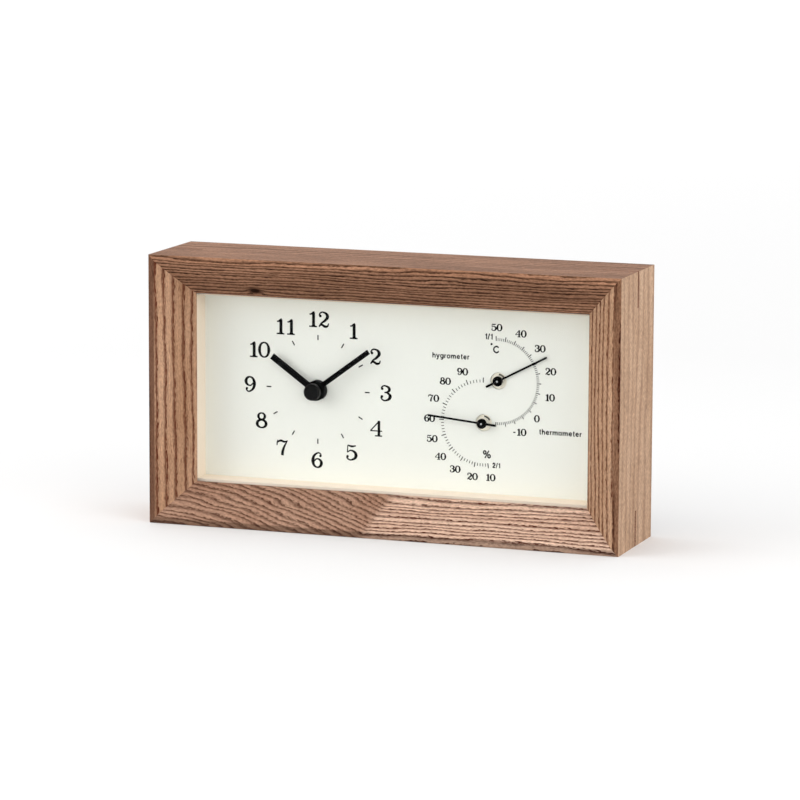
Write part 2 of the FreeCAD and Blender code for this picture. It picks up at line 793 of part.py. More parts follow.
def train_plate():
    """Plate on three posts that holds the back pivots."""
    first, second, _ = plate_posts
    left = first[0] - plate_margin
    right = rotor[0] + plate_margin
    bottom = chamber_bottom + end_shake
    shoulder = first[1] + plate_margin
    top = second[1] + plate_margin
    points = [(left, shoulder), (left, third[1] - plate_margin), (third[0], bottom), (right, bottom),
              (right, intermediate[1]), (second[0] + plate_margin, top), (second[0] - plate_margin, top),
              (centre[0], shoulder)]
    plate = prism(points, plate_front, plate_back)
    for place in (centre, third, intermediate, rotor):
        plate = plate.cut(cylinder(pivot_radius + running_clearance, plate_front, plate_back, place))
    for place in plate_posts:
        plate = plate.cut(cylinder(post_radius / 2 + pilot_clearance, plate_front, plate_back, place))
    return plate


# ---------------------------------------------------------------- coil and circuit
def stator():
    """Plate with the rotor's hole and two arms to the ends of the coil's core."""
    arm_left = rotor[0] + stator_rim
    arm_right = coil_x + core_width / 2
    upper = block(arm_left, arm_right, stator_front, stator_back, core_high - stator_arm, core_high)
    lower = block(arm_left, arm_right, stator_front, stator_back, core_low, core_low + stator_arm)
    upright = block(arm_left, arm_left + stator_arm, stator_front, stator_back, core_low, core_high)
    ring = cylinder(stator_ring, stator_front, stator_back, rotor)
    plate = fused(ring, upright, upper, lower)
    return plate.cut(cylinder(stator_ring - stator_rim, stator_front, stator_back, rotor))


def upright_cylinder(radius, low, high):
    return Part.makeCylinder(radius, high - low, Vector(coil_x, front_y + core_depth, low))


def coil_core():
    return block(coil_x - core_width / 2, coil_x + core_width / 2, stator_back,
                 stator_back + core_thickness, core_low, core_high)


def coil_bobbin():
    """Spool with square-holed flanges round the core."""
    tube = upright_cylinder(core_width / 2 + bobbin_wall, coil_low, coil_high)
    flanges = [upright_cylinder(flange_radius, coil_low, coil_low + flange_thickness),
               upright_cylinder(flange_radius, coil_high - flange_thickness, coil_high)]
    return fused(tube, *flanges).cut(coil_core())


def coil_winding():
    low = coil_low + flange_thickness
    high = coil_high - flange_thickness
    hole = upright_cylinder(core_width / 2 + bobbin_wall, low, high)
    return upright_cylinder(coil_radius, low, high).cut(hole)


def circuit_board():
    return block(case_middle - board_width / 2, case_middle + board_width / 2, board_front, board_back,
                 board_low, board_high)


def driver_chip():
    """Drop of black resin over the chip."""
    place = (case_middle - board_width / 4, board_middle)
    drop = cylinder(chip_radius, board_back, board_back + chip_height, place)
    edge = [e for e in drop.Edges if abs(e.BoundBox.YMin - (front_y + board_back + chip_height)) < 1e-6]
    return drop.makeChamfer(0.7 * chip_height, edge)


def quartz_crystal():
    """Small can that lies on the board."""
    start = Vector(case_middle + board_width / 8, front_y + board_back + crystal_radius, board_middle)
    return Part.makeCylinder(crystal_radius, crystal_length, start, Vector(1, 0, 0))


def battery_cell():
    """AA cell lying in its bay with its nub to the left."""
    start = Vector(cell_left, front_y + cell_depth, cell_height)
    nub = Part.makeCylinder(cell_nub_radius, cell_nub_length, start, Vector(1, 0, 0))
    body = Part.makeCylinder(cell_radius, cell_length, start + Vector(cell_nub_length, 0, 0), Vector(1, 0, 0))
    edges = [e for e in body.Edges if e.BoundBox.XLength < 1e-6]
    return fused(body.makeChamfer(cell_chamfer, edges), nub)


def contact_strip(outer, inwards):
    """Strip from the bay, along the side wall, to a tab on the circuit board."""
    edges = sorted((outer, outer + inwards * contact_thickness))
    low = board_low + tab_margin
    high = board_high - tab_margin
    strip = block(edges[0], edges[1], contact_front, contact_back, contact_low, high)
    reach = sorted((outer, outer + inwards * tab_reach))
    tab = block(reach[0], reach[1], board_back, board_back + contact_thickness, low, high)
    link = block(edges[0], edges[1], board_back, contact_front, low, high)
    return fused(strip, tab, link)


def positive_contact():
    return contact_strip(inner_left + contact_thickness / 2, 1)


def negative_contact():
    """Strip with a folded leaf that presses on the cell's base."""
    outer = inner_right - contact_thickness / 2
    strip = contact_strip(outer, -1)
    tip = cell_right + spring_touch
    root = outer - contact_thickness
    bends = [(root, contact_low), (tip, cell_height - spring_flat / 2),
             (tip, cell_height + spring_flat / 2), (root, contact_high)]
    back = [(x + contact_thickness, z) for x, z in reversed(bends)]
    return fused(strip, prism(bends + back, contact_front, contact_back))


# ---------------------------------------------------------------- instruments
def spiral_strip(place, start):
    """Flat spiral of half circles, from the spindle's collar out to the anchor."""
    inner = collar_radius
    outer = instrument_radius - instrument_wall - anchor_reach
    growth = (outer - inner - ribbon_thickness) / (2 * coil_turns)
    depth = front_y + start
    centre_line = []
    for shift in (0, ribbon_thickness):
        x = inner + shift
        arcs = []
        side = 1
        for number in range(2 * coil_turns):
            following = -side * (abs(x) + growth)
            middle = (x + following) / 2
            radius = abs(following - x) / 2
            arcs.append(Part.Arc(Vector(x, depth, 0), Vector(middle, depth, side * radius),
                                 Vector(following, depth, 0)).toShape())
            x = following
            side = -side
        centre_line.append((arcs, Vector(inner + shift, depth, 0), Vector(x, depth, 0)))
    (first, first_in, first_out), (second, second_in, second_out) = centre_line
    edges = first + [Part.makeLine(first_out, second_out)] + second + [Part.makeLine(second_in, first_in)]
    wire = Part.Wire(Part.__sortEdges__(edges))
    strip = Part.Face(wire).extrude(Vector(0, ribbon_width, 0))
    strip.translate(Vector(place[0], 0, place[1]))
    return strip


def instrument(name, place, angle, standoff):
    """Case with its bush, bridge, coil, spindle and pointer."""
    plate_back_face = dial_back + instrument_plate
    rim_back = dial_back + instrument_depth
    bush_front = dial_front + instrument_setback
    coil_start = plate_back_face + ribbon_gap
    bore = spindle_radius + running_clearance

    case = cylinder(instrument_radius, dial_back, rim_back, place)
    case = case.cut(cylinder(instrument_radius - instrument_wall, plate_back_face, rim_back, place))
    anchor_outer = instrument_radius - instrument_wall / 2
    anchor_inner = instrument_radius - instrument_wall - anchor_reach
    anchor_high = place[1] - running_clearance
    anchor = block(place[0] + anchor_inner, place[0] + anchor_outer, plate_back_face,
                   coil_start + ribbon_width, anchor_high - anchor_width, anchor_high)
    case = fused(case, cylinder(instrument_bush, bush_front, dial_back, place), anchor)
    case = case.cut(cylinder(bore, bush_front, plate_back_face, place))
    slot = cylinder(slot_radius + slot_width / 2, bush_front, bush_front + slot_depth, place)
    slot = slot.cut(cylinder(slot_radius - slot_width / 2, bush_front, bush_front + slot_depth, place))
    bearings = (slot_middle - slot_half_arc, slot_middle, slot_middle + slot_half_arc)
    corners = [place] + [offset(place, instrument_radius, bearing) for bearing in bearings]
    quarter = prism(corners, bush_front, bush_front + slot_depth)
    case = case.cut(slot.common(quarter))

    reach = instrument_radius
    bridge = block(place[0] - reach, place[0] + reach, rim_back, rim_back + bridge_thickness,
                   place[1] - bridge_width / 2, place[1] + bridge_width / 2)
    bridge = bridge.common(cylinder(instrument_radius, rim_back, rim_back + bridge_thickness, place))
    bridge = bridge.cut(cylinder(bore, rim_back, rim_back + bridge_thickness, place))

    boss_back = dial_front - standoff
    boss_front = boss_back - boss_height
    spindle = cylinder(spindle_radius, boss_front - spindle_proud, rim_back + bridge_thickness, place)
    collar = cylinder(collar_radius, coil_start - end_shake, coil_start + ribbon_width + end_shake, place)
    spindle = fused(spindle, collar)

    arm = bar(place, angle, pointer_reach, 0, pointer_width, boss_back - pointer_thickness, boss_back)
    tail = bar(place, angle + 180, pointer_tail, 0, tail_width, boss_back - pointer_thickness, boss_back)
    boss = cylinder(boss_radius, boss_front, boss_back, place)
    front_edge = [e for e in boss.Edges if abs(e.BoundBox.YMax - (front_y + boss_front)) < 1e-6]
    boss = boss.makeChamfer(boss_chamfer, front_edge)
    pointer = fused(boss, arm, tail).cut(cylinder(spindle_radius, boss_front, boss_back, place))

    return {name + "_case": case, name + "_bridge": bridge, name + "_spindle": spindle,
            name + "_coil": spiral_strip(place, coil_start), name + "_pointer": pointer}


# ---------------------------------------------------------------- everything
def main():
    os.makedirs("parts", exist_ok=True)
    shapes = {}
    shapes.update(timber_frame())
    shapes.update(reveal_liner())
    shapes["glass_pane"] = sheet(glass_front, glass_back)
    shapes["dial_board"] = dial_board()
    shapes.update(battens())
    shapes["back_panel"] = back_panel()
    shapes["back_panel_screws"] = back_panel_screws()
    pieces = (mounting_pad, movement_base, movement_cover, train_plate, stator, coil_core, coil_bobbin,
              coil_winding, circuit_board, driver_chip, quartz_crystal, positive_contact,
              negative_contact, battery_cell, rotor_magnet, rotor_pinion, intermediate_wheel,
              seconds_wheel, third_wheel, centre_wheel, minute_arbor, minute_works_wheel, hour_wheel,
              setting_stem, setting_knob, hour_hand, minute_hand, hub_cap)
    for piece in pieces:
        shapes[piece.__name__] = piece()
    shapes.update(instrument("thermometer", thermometer, thermometer_angle, thermometer_standoff))
    shapes.update(instrument("hygrometer", hygrometer, hygrometer_angle, hygrometer_standoff))
    save(shapes)
    print(len(shapes), "nodes")


main()
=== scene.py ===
# Desk clock with thermometer and hygrometer: a stained ash frame, a white dial behind glass,
# a quartz movement and two brass instruments. The scene is in metres, and the sizes in the
# pieces' settings are in millimetres.
import bpy
import bmesh
import math
from mathutils import Matrix, Vector


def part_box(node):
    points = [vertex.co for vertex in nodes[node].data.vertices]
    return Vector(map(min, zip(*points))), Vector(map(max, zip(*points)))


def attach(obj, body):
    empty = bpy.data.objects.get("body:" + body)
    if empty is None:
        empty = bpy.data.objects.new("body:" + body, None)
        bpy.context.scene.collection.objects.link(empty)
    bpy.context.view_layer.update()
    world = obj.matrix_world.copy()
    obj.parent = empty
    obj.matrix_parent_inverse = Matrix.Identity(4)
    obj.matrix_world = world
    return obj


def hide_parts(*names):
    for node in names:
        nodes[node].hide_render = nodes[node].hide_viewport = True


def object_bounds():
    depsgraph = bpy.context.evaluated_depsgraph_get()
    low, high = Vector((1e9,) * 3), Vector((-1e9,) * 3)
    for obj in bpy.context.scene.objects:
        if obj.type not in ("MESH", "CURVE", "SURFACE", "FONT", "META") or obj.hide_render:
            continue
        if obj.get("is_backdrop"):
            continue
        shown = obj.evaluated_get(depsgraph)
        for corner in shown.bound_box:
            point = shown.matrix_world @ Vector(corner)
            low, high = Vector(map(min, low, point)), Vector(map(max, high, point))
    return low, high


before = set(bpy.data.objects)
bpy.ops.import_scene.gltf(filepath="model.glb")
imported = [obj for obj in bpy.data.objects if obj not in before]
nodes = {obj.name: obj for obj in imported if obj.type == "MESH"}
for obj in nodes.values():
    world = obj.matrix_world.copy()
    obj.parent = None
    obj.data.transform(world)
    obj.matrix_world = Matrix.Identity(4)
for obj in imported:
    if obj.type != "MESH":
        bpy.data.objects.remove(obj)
cadLow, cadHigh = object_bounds()
mm = 0.001
print("frame loaded,", len(nodes), "nodes")


# small helpers
def hexColour(code):
    # sRGB hex to the linear colour that a shader wants
    parts = [int(code[i:i + 2], 16) / 255 for i in (0, 2, 4)]
    return [p / 12.92 if p <= 0.04045 else ((p + 0.055) / 1.055) ** 2.4 for p in parts] + [1.0]


def addNode(tree, kind, values={}, links={}, **settings):
    node = tree.nodes.new(kind)
    for name, value in settings.items():
        setattr(node, name, value)
    for name, value in values.items():
        node.inputs[name].default_value = value
    linkSockets(tree, node, links)
    return node


def linkSockets(tree, node, links):
    for name, socket in links.items():
        tree.links.new(socket, node.inputs[name])


def newMaterial(name, values):
    # a Principled shader with its fixed values, and the output it goes to
    material = bpy.data.materials.new(name)
    material.use_nodes = True
    tree = material.node_tree
    tree.nodes.clear()
    shader = addNode(tree, "ShaderNodeBsdfPrincipled", values)
    addNode(tree, "ShaderNodeOutputMaterial", links={"Surface": shader.outputs[0]})
    return material, tree, shader


def putOnSurface(tree, last):
    # the last shader goes to the output in place of the Principled one that it is mixed from
    output = next(node for node in tree.nodes if node.type == "OUTPUT_MATERIAL")
    linkSockets(tree, output, {"Surface": last.outputs[0]})


def deselectAll():
    if bpy.context.object and bpy.context.object.mode != "OBJECT":
        bpy.ops.object.mode_set(mode="OBJECT")
    bpy.ops.object.select_all(action="DESELECT")


def keepPlaceInMesh(piece):
    piece.data.transform(piece.matrix_world)
    piece.matrix_world = Matrix.Identity(4)


def startPiece(addPrimitive, **settings):
    # a primitive at its size and place, with nothing else selected
    deselectAll()
    addPrimitive(**settings)
    piece = bpy.context.object
    keepPlaceInMesh(piece)
    return piece


def selectParts(piece, kind, test):
    # edit mode with only the faces or edges that pass the test selected
    deselectAll()
    bpy.context.view_layer.objects.active = piece
    piece.select_set(True)
    bpy.ops.object.mode_set(mode="EDIT")
    bpy.ops.mesh.select_mode(type=kind)
    bpy.ops.mesh.select_all(action="DESELECT")
    cage = bmesh.from_edit_mesh(piece.data)
    for part in cage.faces if kind == "FACE" else cage.edges:
        part.select_set(test(part))
    cage.select_flush_mode()
    bmesh.update_edit_mesh(piece.data)


def joinPieces(pieces, name):
    deselectAll()
    for piece in pieces:
        piece.select_set(True)
    bpy.context.view_layer.objects.active = pieces[0]
    if len(pieces) > 1:
        bpy.ops.object.join()
    pieces[0].name = name
    pieces[0].data.name = name
    return pieces[0]


def copyPiece(piece):
    # a copy with its own mesh
    copy = piece.copy()
    copy.data = piece.data.copy()
    bpy.context.scene.collection.objects.link(copy)
    return copy


creaseAngle = 35  # degrees between faces, past which an edge stays crisp


def finishPiece(piece, body, material):
    deselectAll()
    piece.data.materials.clear()
    piece.data.materials.append(material)
    piece.select_set(True)
    bpy.context.view_layer.objects.active = piece
    bpy.ops.object.shade_smooth_by_angle(angle=math.radians(creaseAngle))
    piece.select_set(False)
    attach(piece, body)
    return piece


def dress(material, *names):
    for name in names:
        node = nodes[name]
        if not node.material_slots:
            node.data.materials.append(material)
        for slot in node.material_slots:
            slot.material = material


# camera
# its place and reach in metres, its turns in degrees, lens and sensor in mm
camera = {
    "place": (0.57592, -1.6108, 0.33605), "azimuth": 19.661, "elevation": 9.388, "roll": 0.245,
    "lens": 193.02, "sensor": 36, "reach": 20,
}
deselectAll()
bpy.ops.object.camera_add()
lookout = bpy.context.object
lookout.name = "camera"
lookout.matrix_world = (Matrix.Translation(camera["place"])
                        @ Matrix.Rotation(math.radians(camera["azimuth"]), 4, "Z")
                        @ Matrix.Rotation(math.radians(90 - camera["elevation"]), 4, "X")
                        @ Matrix.Rotation(math.radians(camera["roll"]), 4, "Z"))
lookout.data.lens = camera["lens"]
lookout.data.sensor_width = camera["sensor"]
lookout.data.clip_end = camera["reach"]
bpy.context.scene.camera = lookout
print("camera placed")


# wood
# Ash, planed, stained brown and waxed. Each ring starts with a band of open pores that takes
# the stain dark, and fades into dense pale late wood, so the face is a set of ragged lines.
def bendGrain(tree, grain, look):
    # slow sway and small ripples bend the rings
    bent = grain
    for length, reach, start in ((look["swayLength"], look["sway"], look["swayStart"]),
                                 (look["rippleLength"], look["ripple"], look["rippleStart"])):
        # the waves are five times shorter across the grain, and three times into the wood
        stretch = addNode(tree, "ShaderNodeMapping",
                          {"Scale": (1 / length, 5 / length, 3 / length),
                           "Location": (look["seed"] + start, start, 0)}, {"Vector": grain})
        cloud = addNode(tree, "ShaderNodeTexNoise", {"Scale": 1.0, "Detail": 2.0},
                        {"Vector": stretch.outputs[0]})
        centred = addNode(tree, "ShaderNodeVectorMath", {1: (0.5, 0.5, 0.5)},
                          {0: cloud.outputs["Color"]}, operation="SUBTRACT")
        push = addNode(tree, "ShaderNodeVectorMath", {1: (0, reach, reach)},
                       {0: centred.outputs[0]}, operation="MULTIPLY")
        bent = addNode(tree, "ShaderNodeVectorMath", {}, {0: bent, 1: push.outputs[0]},
                       operation="ADD").outputs[0]
    return bent


def nearKnot(tree, grain, look):
    # 1 in the heart of the pin knot, 0 past its rim
    knot = addNode(tree, "ShaderNodeMapping",
                   {"Location": [-c / s for c, s in zip(look["knot"], look["knotSize"])],
                    "Scale": [1 / s for s in look["knotSize"]]}, {"Vector": grain})
    gap = addNode(tree, "ShaderNodeVectorMath", {}, {0: knot.outputs[0]}, operation="LENGTH")
    near = addNode(tree, "ShaderNodeMapRange", {"From Min": 1.0, "From Max": 0.0},
                   {"Value": gap.outputs["Value"]}, interpolation_type="SMOOTHSTEP")
    return near.outputs[0]


def liftGrain(tree, bent, skew, near, look):
    # where the board was cut across the grain the lines run aslant up to one point, and the
    # knot pushes them aside
    ramp = addNode(tree, "ShaderNodeMapRange",
                   {"From Min": look["slantFrom"], "From Max": look["slantTo"]}, {"Value": skew})
    curve = addNode(tree, "ShaderNodeMath", {1: look["slantCurve"]}, {0: ramp.outputs[0]},
                    operation="POWER")
    rise = addNode(tree, "ShaderNodeMath", {1: look["slantRise"]}, {0: curve.outputs[0]},
                   operation="MULTIPLY")
    lift = addNode(tree, "ShaderNodeMath", {1: look["knotPush"]}, {0: near, 2: rise.outputs[0]},
                   operation="MULTIPLY_ADD")
    lifted = addNode(tree, "ShaderNodeCombineXYZ", links={"Y": lift.outputs[0]})
    bent = addNode(tree, "ShaderNodeVectorMath", {}, {0: bent, 1: lifted.outputs[0]},
                   operation="ADD")
    return bent.outputs[0]


def countRings(tree, bent, look):
    # rings round a pith that lies outside the rail, some years wider than others
    fromPith = addNode(tree, "ShaderNodeVectorMath", {1: (0, look["pith"][0], look["pith"][1])},
                       {0: bent}, operation="SUBTRACT")
    across = addNode(tree, "ShaderNodeVectorMath", {1: (0, 1, 1)}, {0: fromPith.outputs[0]},
                     operation="MULTIPLY")
    radius = addNode(tree, "ShaderNodeVectorMath", {}, {0: across.outputs[0]}, operation="LENGTH")
    ring = addNode(tree, "ShaderNodeMath", {1: 1 / look["ring"]}, {0: radius.outputs["Value"]},
                   operation="MULTIPLY")
    years = addNode(tree, "ShaderNodeTexNoise", {"Scale": look["yearRhythm"], "Detail": 0.0},
                    {"W": ring.outputs[0]}, noise_dimensions="1D")
    rings = addNode(tree, "ShaderNodeMath", {1: look["uneven"]},
                    {0: years.outputs[0], 2: ring.outputs[0]}, operation="MULTIPLY_ADD")
    return rings.outputs[0]


def openPores(tree, bent, rings, near, look):
    # pores, 0.4 mm wide and a few mm long, fray the edges of the bands and show as dashes
    shape = addNode(tree, "ShaderNodeMapping",
                    {"Scale": (1 / look["poreLength"], 1 / look["poreWidth"],
                               1 / look["poreWidth"])}, {"Vector": bent})
    noise = addNode(tree, "ShaderNodeTexNoise", {"Scale": 1.0, "Detail": 1.0},
                    {"Vector": shape.outputs[0]})
    fray = addNode(tree, "ShaderNodeMath", {1: 0.5}, {0: noise.outputs[0]}, operation="SUBTRACT")
    count = addNode(tree, "ShaderNodeMath", {1: look["fray"]}, {0: fray.outputs[0], 2: rings},
                    operation="MULTIPLY_ADD")
    season = addNode(tree, "ShaderNodeMath", {}, {0: count.outputs[0]}, operation="FRACT")
    fade = addNode(tree, "ShaderNodeMapRange", {"From Min": look["band"], "From Max": look["core"]},
                   {"Value": season.outputs[0]}, interpolation_type="SMOOTHSTEP")
    start = addNode(tree, "ShaderNodeMapRange", {"From Min": 0.0, "From Max": look["start"]},
                    {"Value": season.outputs[0]})
    band = addNode(tree, "ShaderNodeMath", {}, {0: fade.outputs[0], 1: start.outputs[0]},
                   operation="MULTIPLY")

    # within a band the wood between the pores stays paler, and poor years are paler all through
    pores = addNode(tree, "ShaderNodeMapRange",
                    {"From Min": look["poreEdge"][0], "From Max": look["poreEdge"][1]},
                    {"Value": noise.outputs[0]})
    dashes = addNode(tree, "ShaderNodeMath", {1: look["dashes"], 2: 1 - look["dashes"]},
                     {0: pores.outputs[0]}, operation="MULTIPLY_ADD")
    year = addNode(tree, "ShaderNodeMath", {}, {0: count.outputs[0]}, operation="FLOOR")
    luck = addNode(tree, "ShaderNodeTexWhiteNoise", {}, {"W": year.outputs[0]},
                   noise_dimensions="1D")
    vigour = addNode(tree, "ShaderNodeMath", {1: look["poorYears"], 2: 1 - look["poorYears"]},
                     {0: luck.outputs[0]}, operation="MULTIPLY_ADD")
    for part in (dashes, vigour):
        band = addNode(tree, "ShaderNodeMath", {}, {0: band.outputs[0], 1: part.outputs[0]},
                       operation="MULTIPLY")

    # a few pores stray into the late wood, and the knot is dark all over
    stray = addNode(tree, "ShaderNodeMapRange",
                    {"From Min": look["strayEdge"][0], "From Max": look["strayEdge"][1],
                     "To Max": look["stray"]}, {"Value": noise.outputs[0]})
    heart = addNode(tree, "ShaderNodeMath", {1: look["knotDark"]}, {0: near}, operation="MULTIPLY")
    for part in (stray, heart):
        band = addNode(tree, "ShaderNodeMath", {}, {0: band.outputs[0], 1: part.outputs[0]},
                       operation="MAXIMUM")
    return band.outputs[0]


def stainFaces(tree, inward, look):
    # the outer sides are tinted paler and greyer per rail, partly their own wood and partly a
    # painted sheen of the white room seen at a grazing angle; the narrow lip round the front gets
    # its own tint per rail, mostly darker and redder
    front = addNode(tree, "ShaderNodeMapRange",
                    {"From Min": look["sideEdge"][0], "From Max": look["sideEdge"][1]},
                    {"Value": inward})
    moulded = addNode(tree, "ShaderNodeMapRange", {"From Min": look["lipWidth"] - look["lipBlend"],
                                                   "From Max": look["lipWidth"] + look["lipBlend"]},
                      {"Value": inward})
    edge = addNode(tree, "ShaderNodeMix", {6: (*look["outerToneAndSheen"], 1), 7: (*look["lipTint"], 1)},
                   {0: front.outputs[0]}, data_type="RGBA")
    sideAndLipTint = addNode(tree, "ShaderNodeMix", {7: (1, 1, 1, 1)},
                    {0: moulded.outputs[0], 6: edge.outputs[2]}, data_type="RGBA")
    return front.outputs[0], sideAndLipTint.outputs[2]


def changeTone(tree, skew, look):
    # the slanting part of a board takes the stain darker, and its lines show less there
    ends = {"From Min": look["toneAt"] - look["toneBlend"],
            "From Max": look["toneAt"] + look["toneBlend"]}
    beyond = addNode(tree, "ShaderNodeMapRange", ends, {"Value": skew},
                     interpolation_type="SMOOTHSTEP")
    tone = addNode(tree, "ShaderNodeMix", {6: (*look["toneBefore"], 1), 7: (1, 1, 1, 1)},
                   {0: beyond.outputs[0]}, data_type="RGBA")
    depth = addNode(tree, "ShaderNodeMapRange", {**ends, "To Min": look["linesBefore"]},
                    {"Value": skew})
    return tone.outputs[2], depth.outputs[0]


def mixBody(tree, bent, rings, depth, look):
    # broad patches of two tones, with the stain that creeps out of the pores beside them
    shape = addNode(tree, "ShaderNodeMapping",
                    {"Scale": [1 / s for s in look["patchSize"]],
                     "Location": (look["seed"], 0, 0)}, {"Vector": bent})
    patch = addNode(tree, "ShaderNodeTexNoise", {"Scale": 1.0, "Detail": 2.0},
                    {"Vector": shape.outputs[0]})
    patches = addNode(tree, "ShaderNodeMapRange",
                      {"From Min": look["softSpan"][0], "From Max": look["softSpan"][1]},
                      {"Value": patch.outputs[0]})
    body = addNode(tree, "ShaderNodeMix", {6: hexColour(look["pale"]), 7: hexColour(look["warm"])},
                   {0: patches.outputs[0]}, data_type="RGBA")
    fromBand = addNode(tree, "ShaderNodeMath", {1: (look["core"] + look["start"]) / 2}, {0: rings},
                       operation="SUBTRACT")
    aside = addNode(tree, "ShaderNodeMath", {1: 0.5}, {0: fromBand.outputs[0]},
                    operation="PINGPONG")
    soak = addNode(tree, "ShaderNodeMapRange",
                   {"From Min": look["soakReach"], "From Max": look["soakCore"],
                    "To Max": look["soak"]}, {"Value": aside.outputs[0]},
                   interpolation_type="SMOOTHSTEP")
    soaked = addNode(tree, "ShaderNodeMath", {}, {0: soak.outputs[0], 1: depth},
                     operation="MULTIPLY", use_clamp=True)
    body = addNode(tree, "ShaderNodeMix", {7: hexColour(look["dark"])},
                   {0: soaked.outputs[0], 6: body.outputs[2]}, data_type="RGBA")
    return body.outputs[2]


def shadeFibres(tree, bent, look):
    # long fibres and short flecks; flecks are drawn twice as coarse as real ones
    fibreScale = (1 / look["fibreLength"], 1 / look["fibreWidth"], 1 / look["fibreWidth"])
    fleckScale = (1 / look["fleckLength"], 1 / look["fleckWidth"], 1 / look["fleckWidth"])
    fibreShape = addNode(tree, "ShaderNodeMapping", {"Scale": fibreScale}, {"Vector": bent})
    fleckShape = addNode(tree, "ShaderNodeMapping", {"Scale": fleckScale}, {"Vector": bent})
    fibre = addNode(tree, "ShaderNodeTexNoise", {"Scale": 1.0, "Detail": 2.0},
                    {"Vector": fibreShape.outputs[0]})
    fleck = addNode(tree, "ShaderNodeTexNoise", {"Scale": 1.0, "Detail": 1.0},
                    {"Vector": fleckShape.outputs[0]})
    streak = addNode(tree, "ShaderNodeMapRange",
                     {"From Min": look["softSpan"][0], "From Max": look["softSpan"][1],
                      "To Min": look["fibreTone"][0], "To Max": look["fibreTone"][1]},
                     {"Value": fibre.outputs[0]})
    speckle = addNode(tree, "ShaderNodeMapRange",
                      {"From Min": look["fleckSpan"][0], "From Max": look["fleckSpan"][1],
                       "To Min": 1 - look["flecks"], "To Max": 1 + look["flecks"]},
                      {"Value": fleck.outputs[0]})
    shade = addNode(tree, "ShaderNodeMath", {}, {0: streak.outputs[0], 1: speckle.outputs[0]},
                    operation="MULTIPLY")
    return fibre.outputs[0], shade.outputs[0]


def stainedAsh(name, look):
    material, tree, shader = newMaterial(name, {"IOR": 1.45, "Specular IOR Level": 0.05})
    place = addNode(tree, "ShaderNodeTexCoord")
    apart = addNode(tree, "ShaderNodeSeparateXYZ", links={0: place.outputs["Object"]})
    order = addNode(tree, "ShaderNodeCombineXYZ",
                    links={i: apart.outputs[axis] for i, axis in enumerate(look["axes"])})
    # x runs along the grain, y in from the outer edge, z back from the front, all in mm
    grain = addNode(tree, "ShaderNodeMapping", {"Scale": look["scale"], "Location": look["shift"]},
                    {"Vector": order.outputs[0]}).outputs[0]
    along = addNode(tree, "ShaderNodeSeparateXYZ", links={0: grain})
    skew = addNode(tree, "ShaderNodeMath", {1: -look["slantSkew"]},
                   {0: along.outputs["Y"], 2: along.outputs["X"]},
                   operation="MULTIPLY_ADD").outputs[0]

    near = nearKnot(tree, grain, look)
    bent = liftGrain(tree, bendGrain(tree, grain, look), skew, near, look)
    rings = countRings(tree, bent, look)
    dark = openPores(tree, bent, rings, near, look)
    front, sideAndLipTint = stainFaces(tree, along.outputs["Y"], look)
    tone, lineDepth = changeTone(tree, skew, look)
    skin = addNode(tree, "ShaderNodeMapRange",
                   {"To Min": look["outerLines"], "To Max": look["depth"]}, {"Value": front})
    depth = addNode(tree, "ShaderNodeMath", {}, {0: skin.outputs[0], 1: lineDepth},
                    operation="MULTIPLY").outputs[0]
    body = mixBody(tree, bent, rings, depth, look)
    fibre, shade = shadeFibres(tree, bent, look)

    inked = addNode(tree, "ShaderNodeMath", {}, {0: dark, 1: depth}, operation="MULTIPLY",
                    use_clamp=True)
    lines = addNode(tree, "ShaderNodeMix", {7: hexColour(look["dark"])},
                    {0: inked.outputs[0], 6: body}, data_type="RGBA")
    finish = addNode(tree, "ShaderNodeVectorMath", {}, {0: lines.outputs[2], "Scale": shade},
                     operation="SCALE")
    for part in (sideAndLipTint, tone):
        finish = addNode(tree, "ShaderNodeVectorMath", {}, {0: finish.outputs[0], 1: part},
                         operation="MULTIPLY")
    # wax fills the wood to a soft sheen and leaves the pores dull and sunken
    sheen = addNode(tree, "ShaderNodeMapRange",
                    {"To Min": look["roughness"][0], "To Max": look["roughness"][1]},
                    {"Value": inked.outputs[0]})
    height = addNode(tree, "ShaderNodeMath", {1: look["fibreRelief"]}, {0: fibre},
                     operation="MULTIPLY")
    relief = addNode(tree, "ShaderNodeMath", {}, {0: height.outputs[0], 1: inked.outputs[0]},
                     operation="SUBTRACT")
    bump = addNode(tree, "ShaderNodeBump",
                   {"Strength": look["relief"], "Distance": look["poreDepth"] * mm},
                   {"Height": relief.outputs[0]})
    linkSockets(tree, shader, {"Base Color": finish.outputs[0], "Roughness": sheen.outputs[0],
                               "Normal": bump.outputs[0]})
    return material


halfWidth = cadHigh.x / mm
fullHeight = cadHigh.z / mm
halfDepth = cadHigh.y / mm
# metres to mm, with y counted up from the low edge or down from the high one
fromLow = (1 / mm, 1 / mm, 1 / mm)
fromHigh = (1 / mm, -1 / mm, 1 / mm)
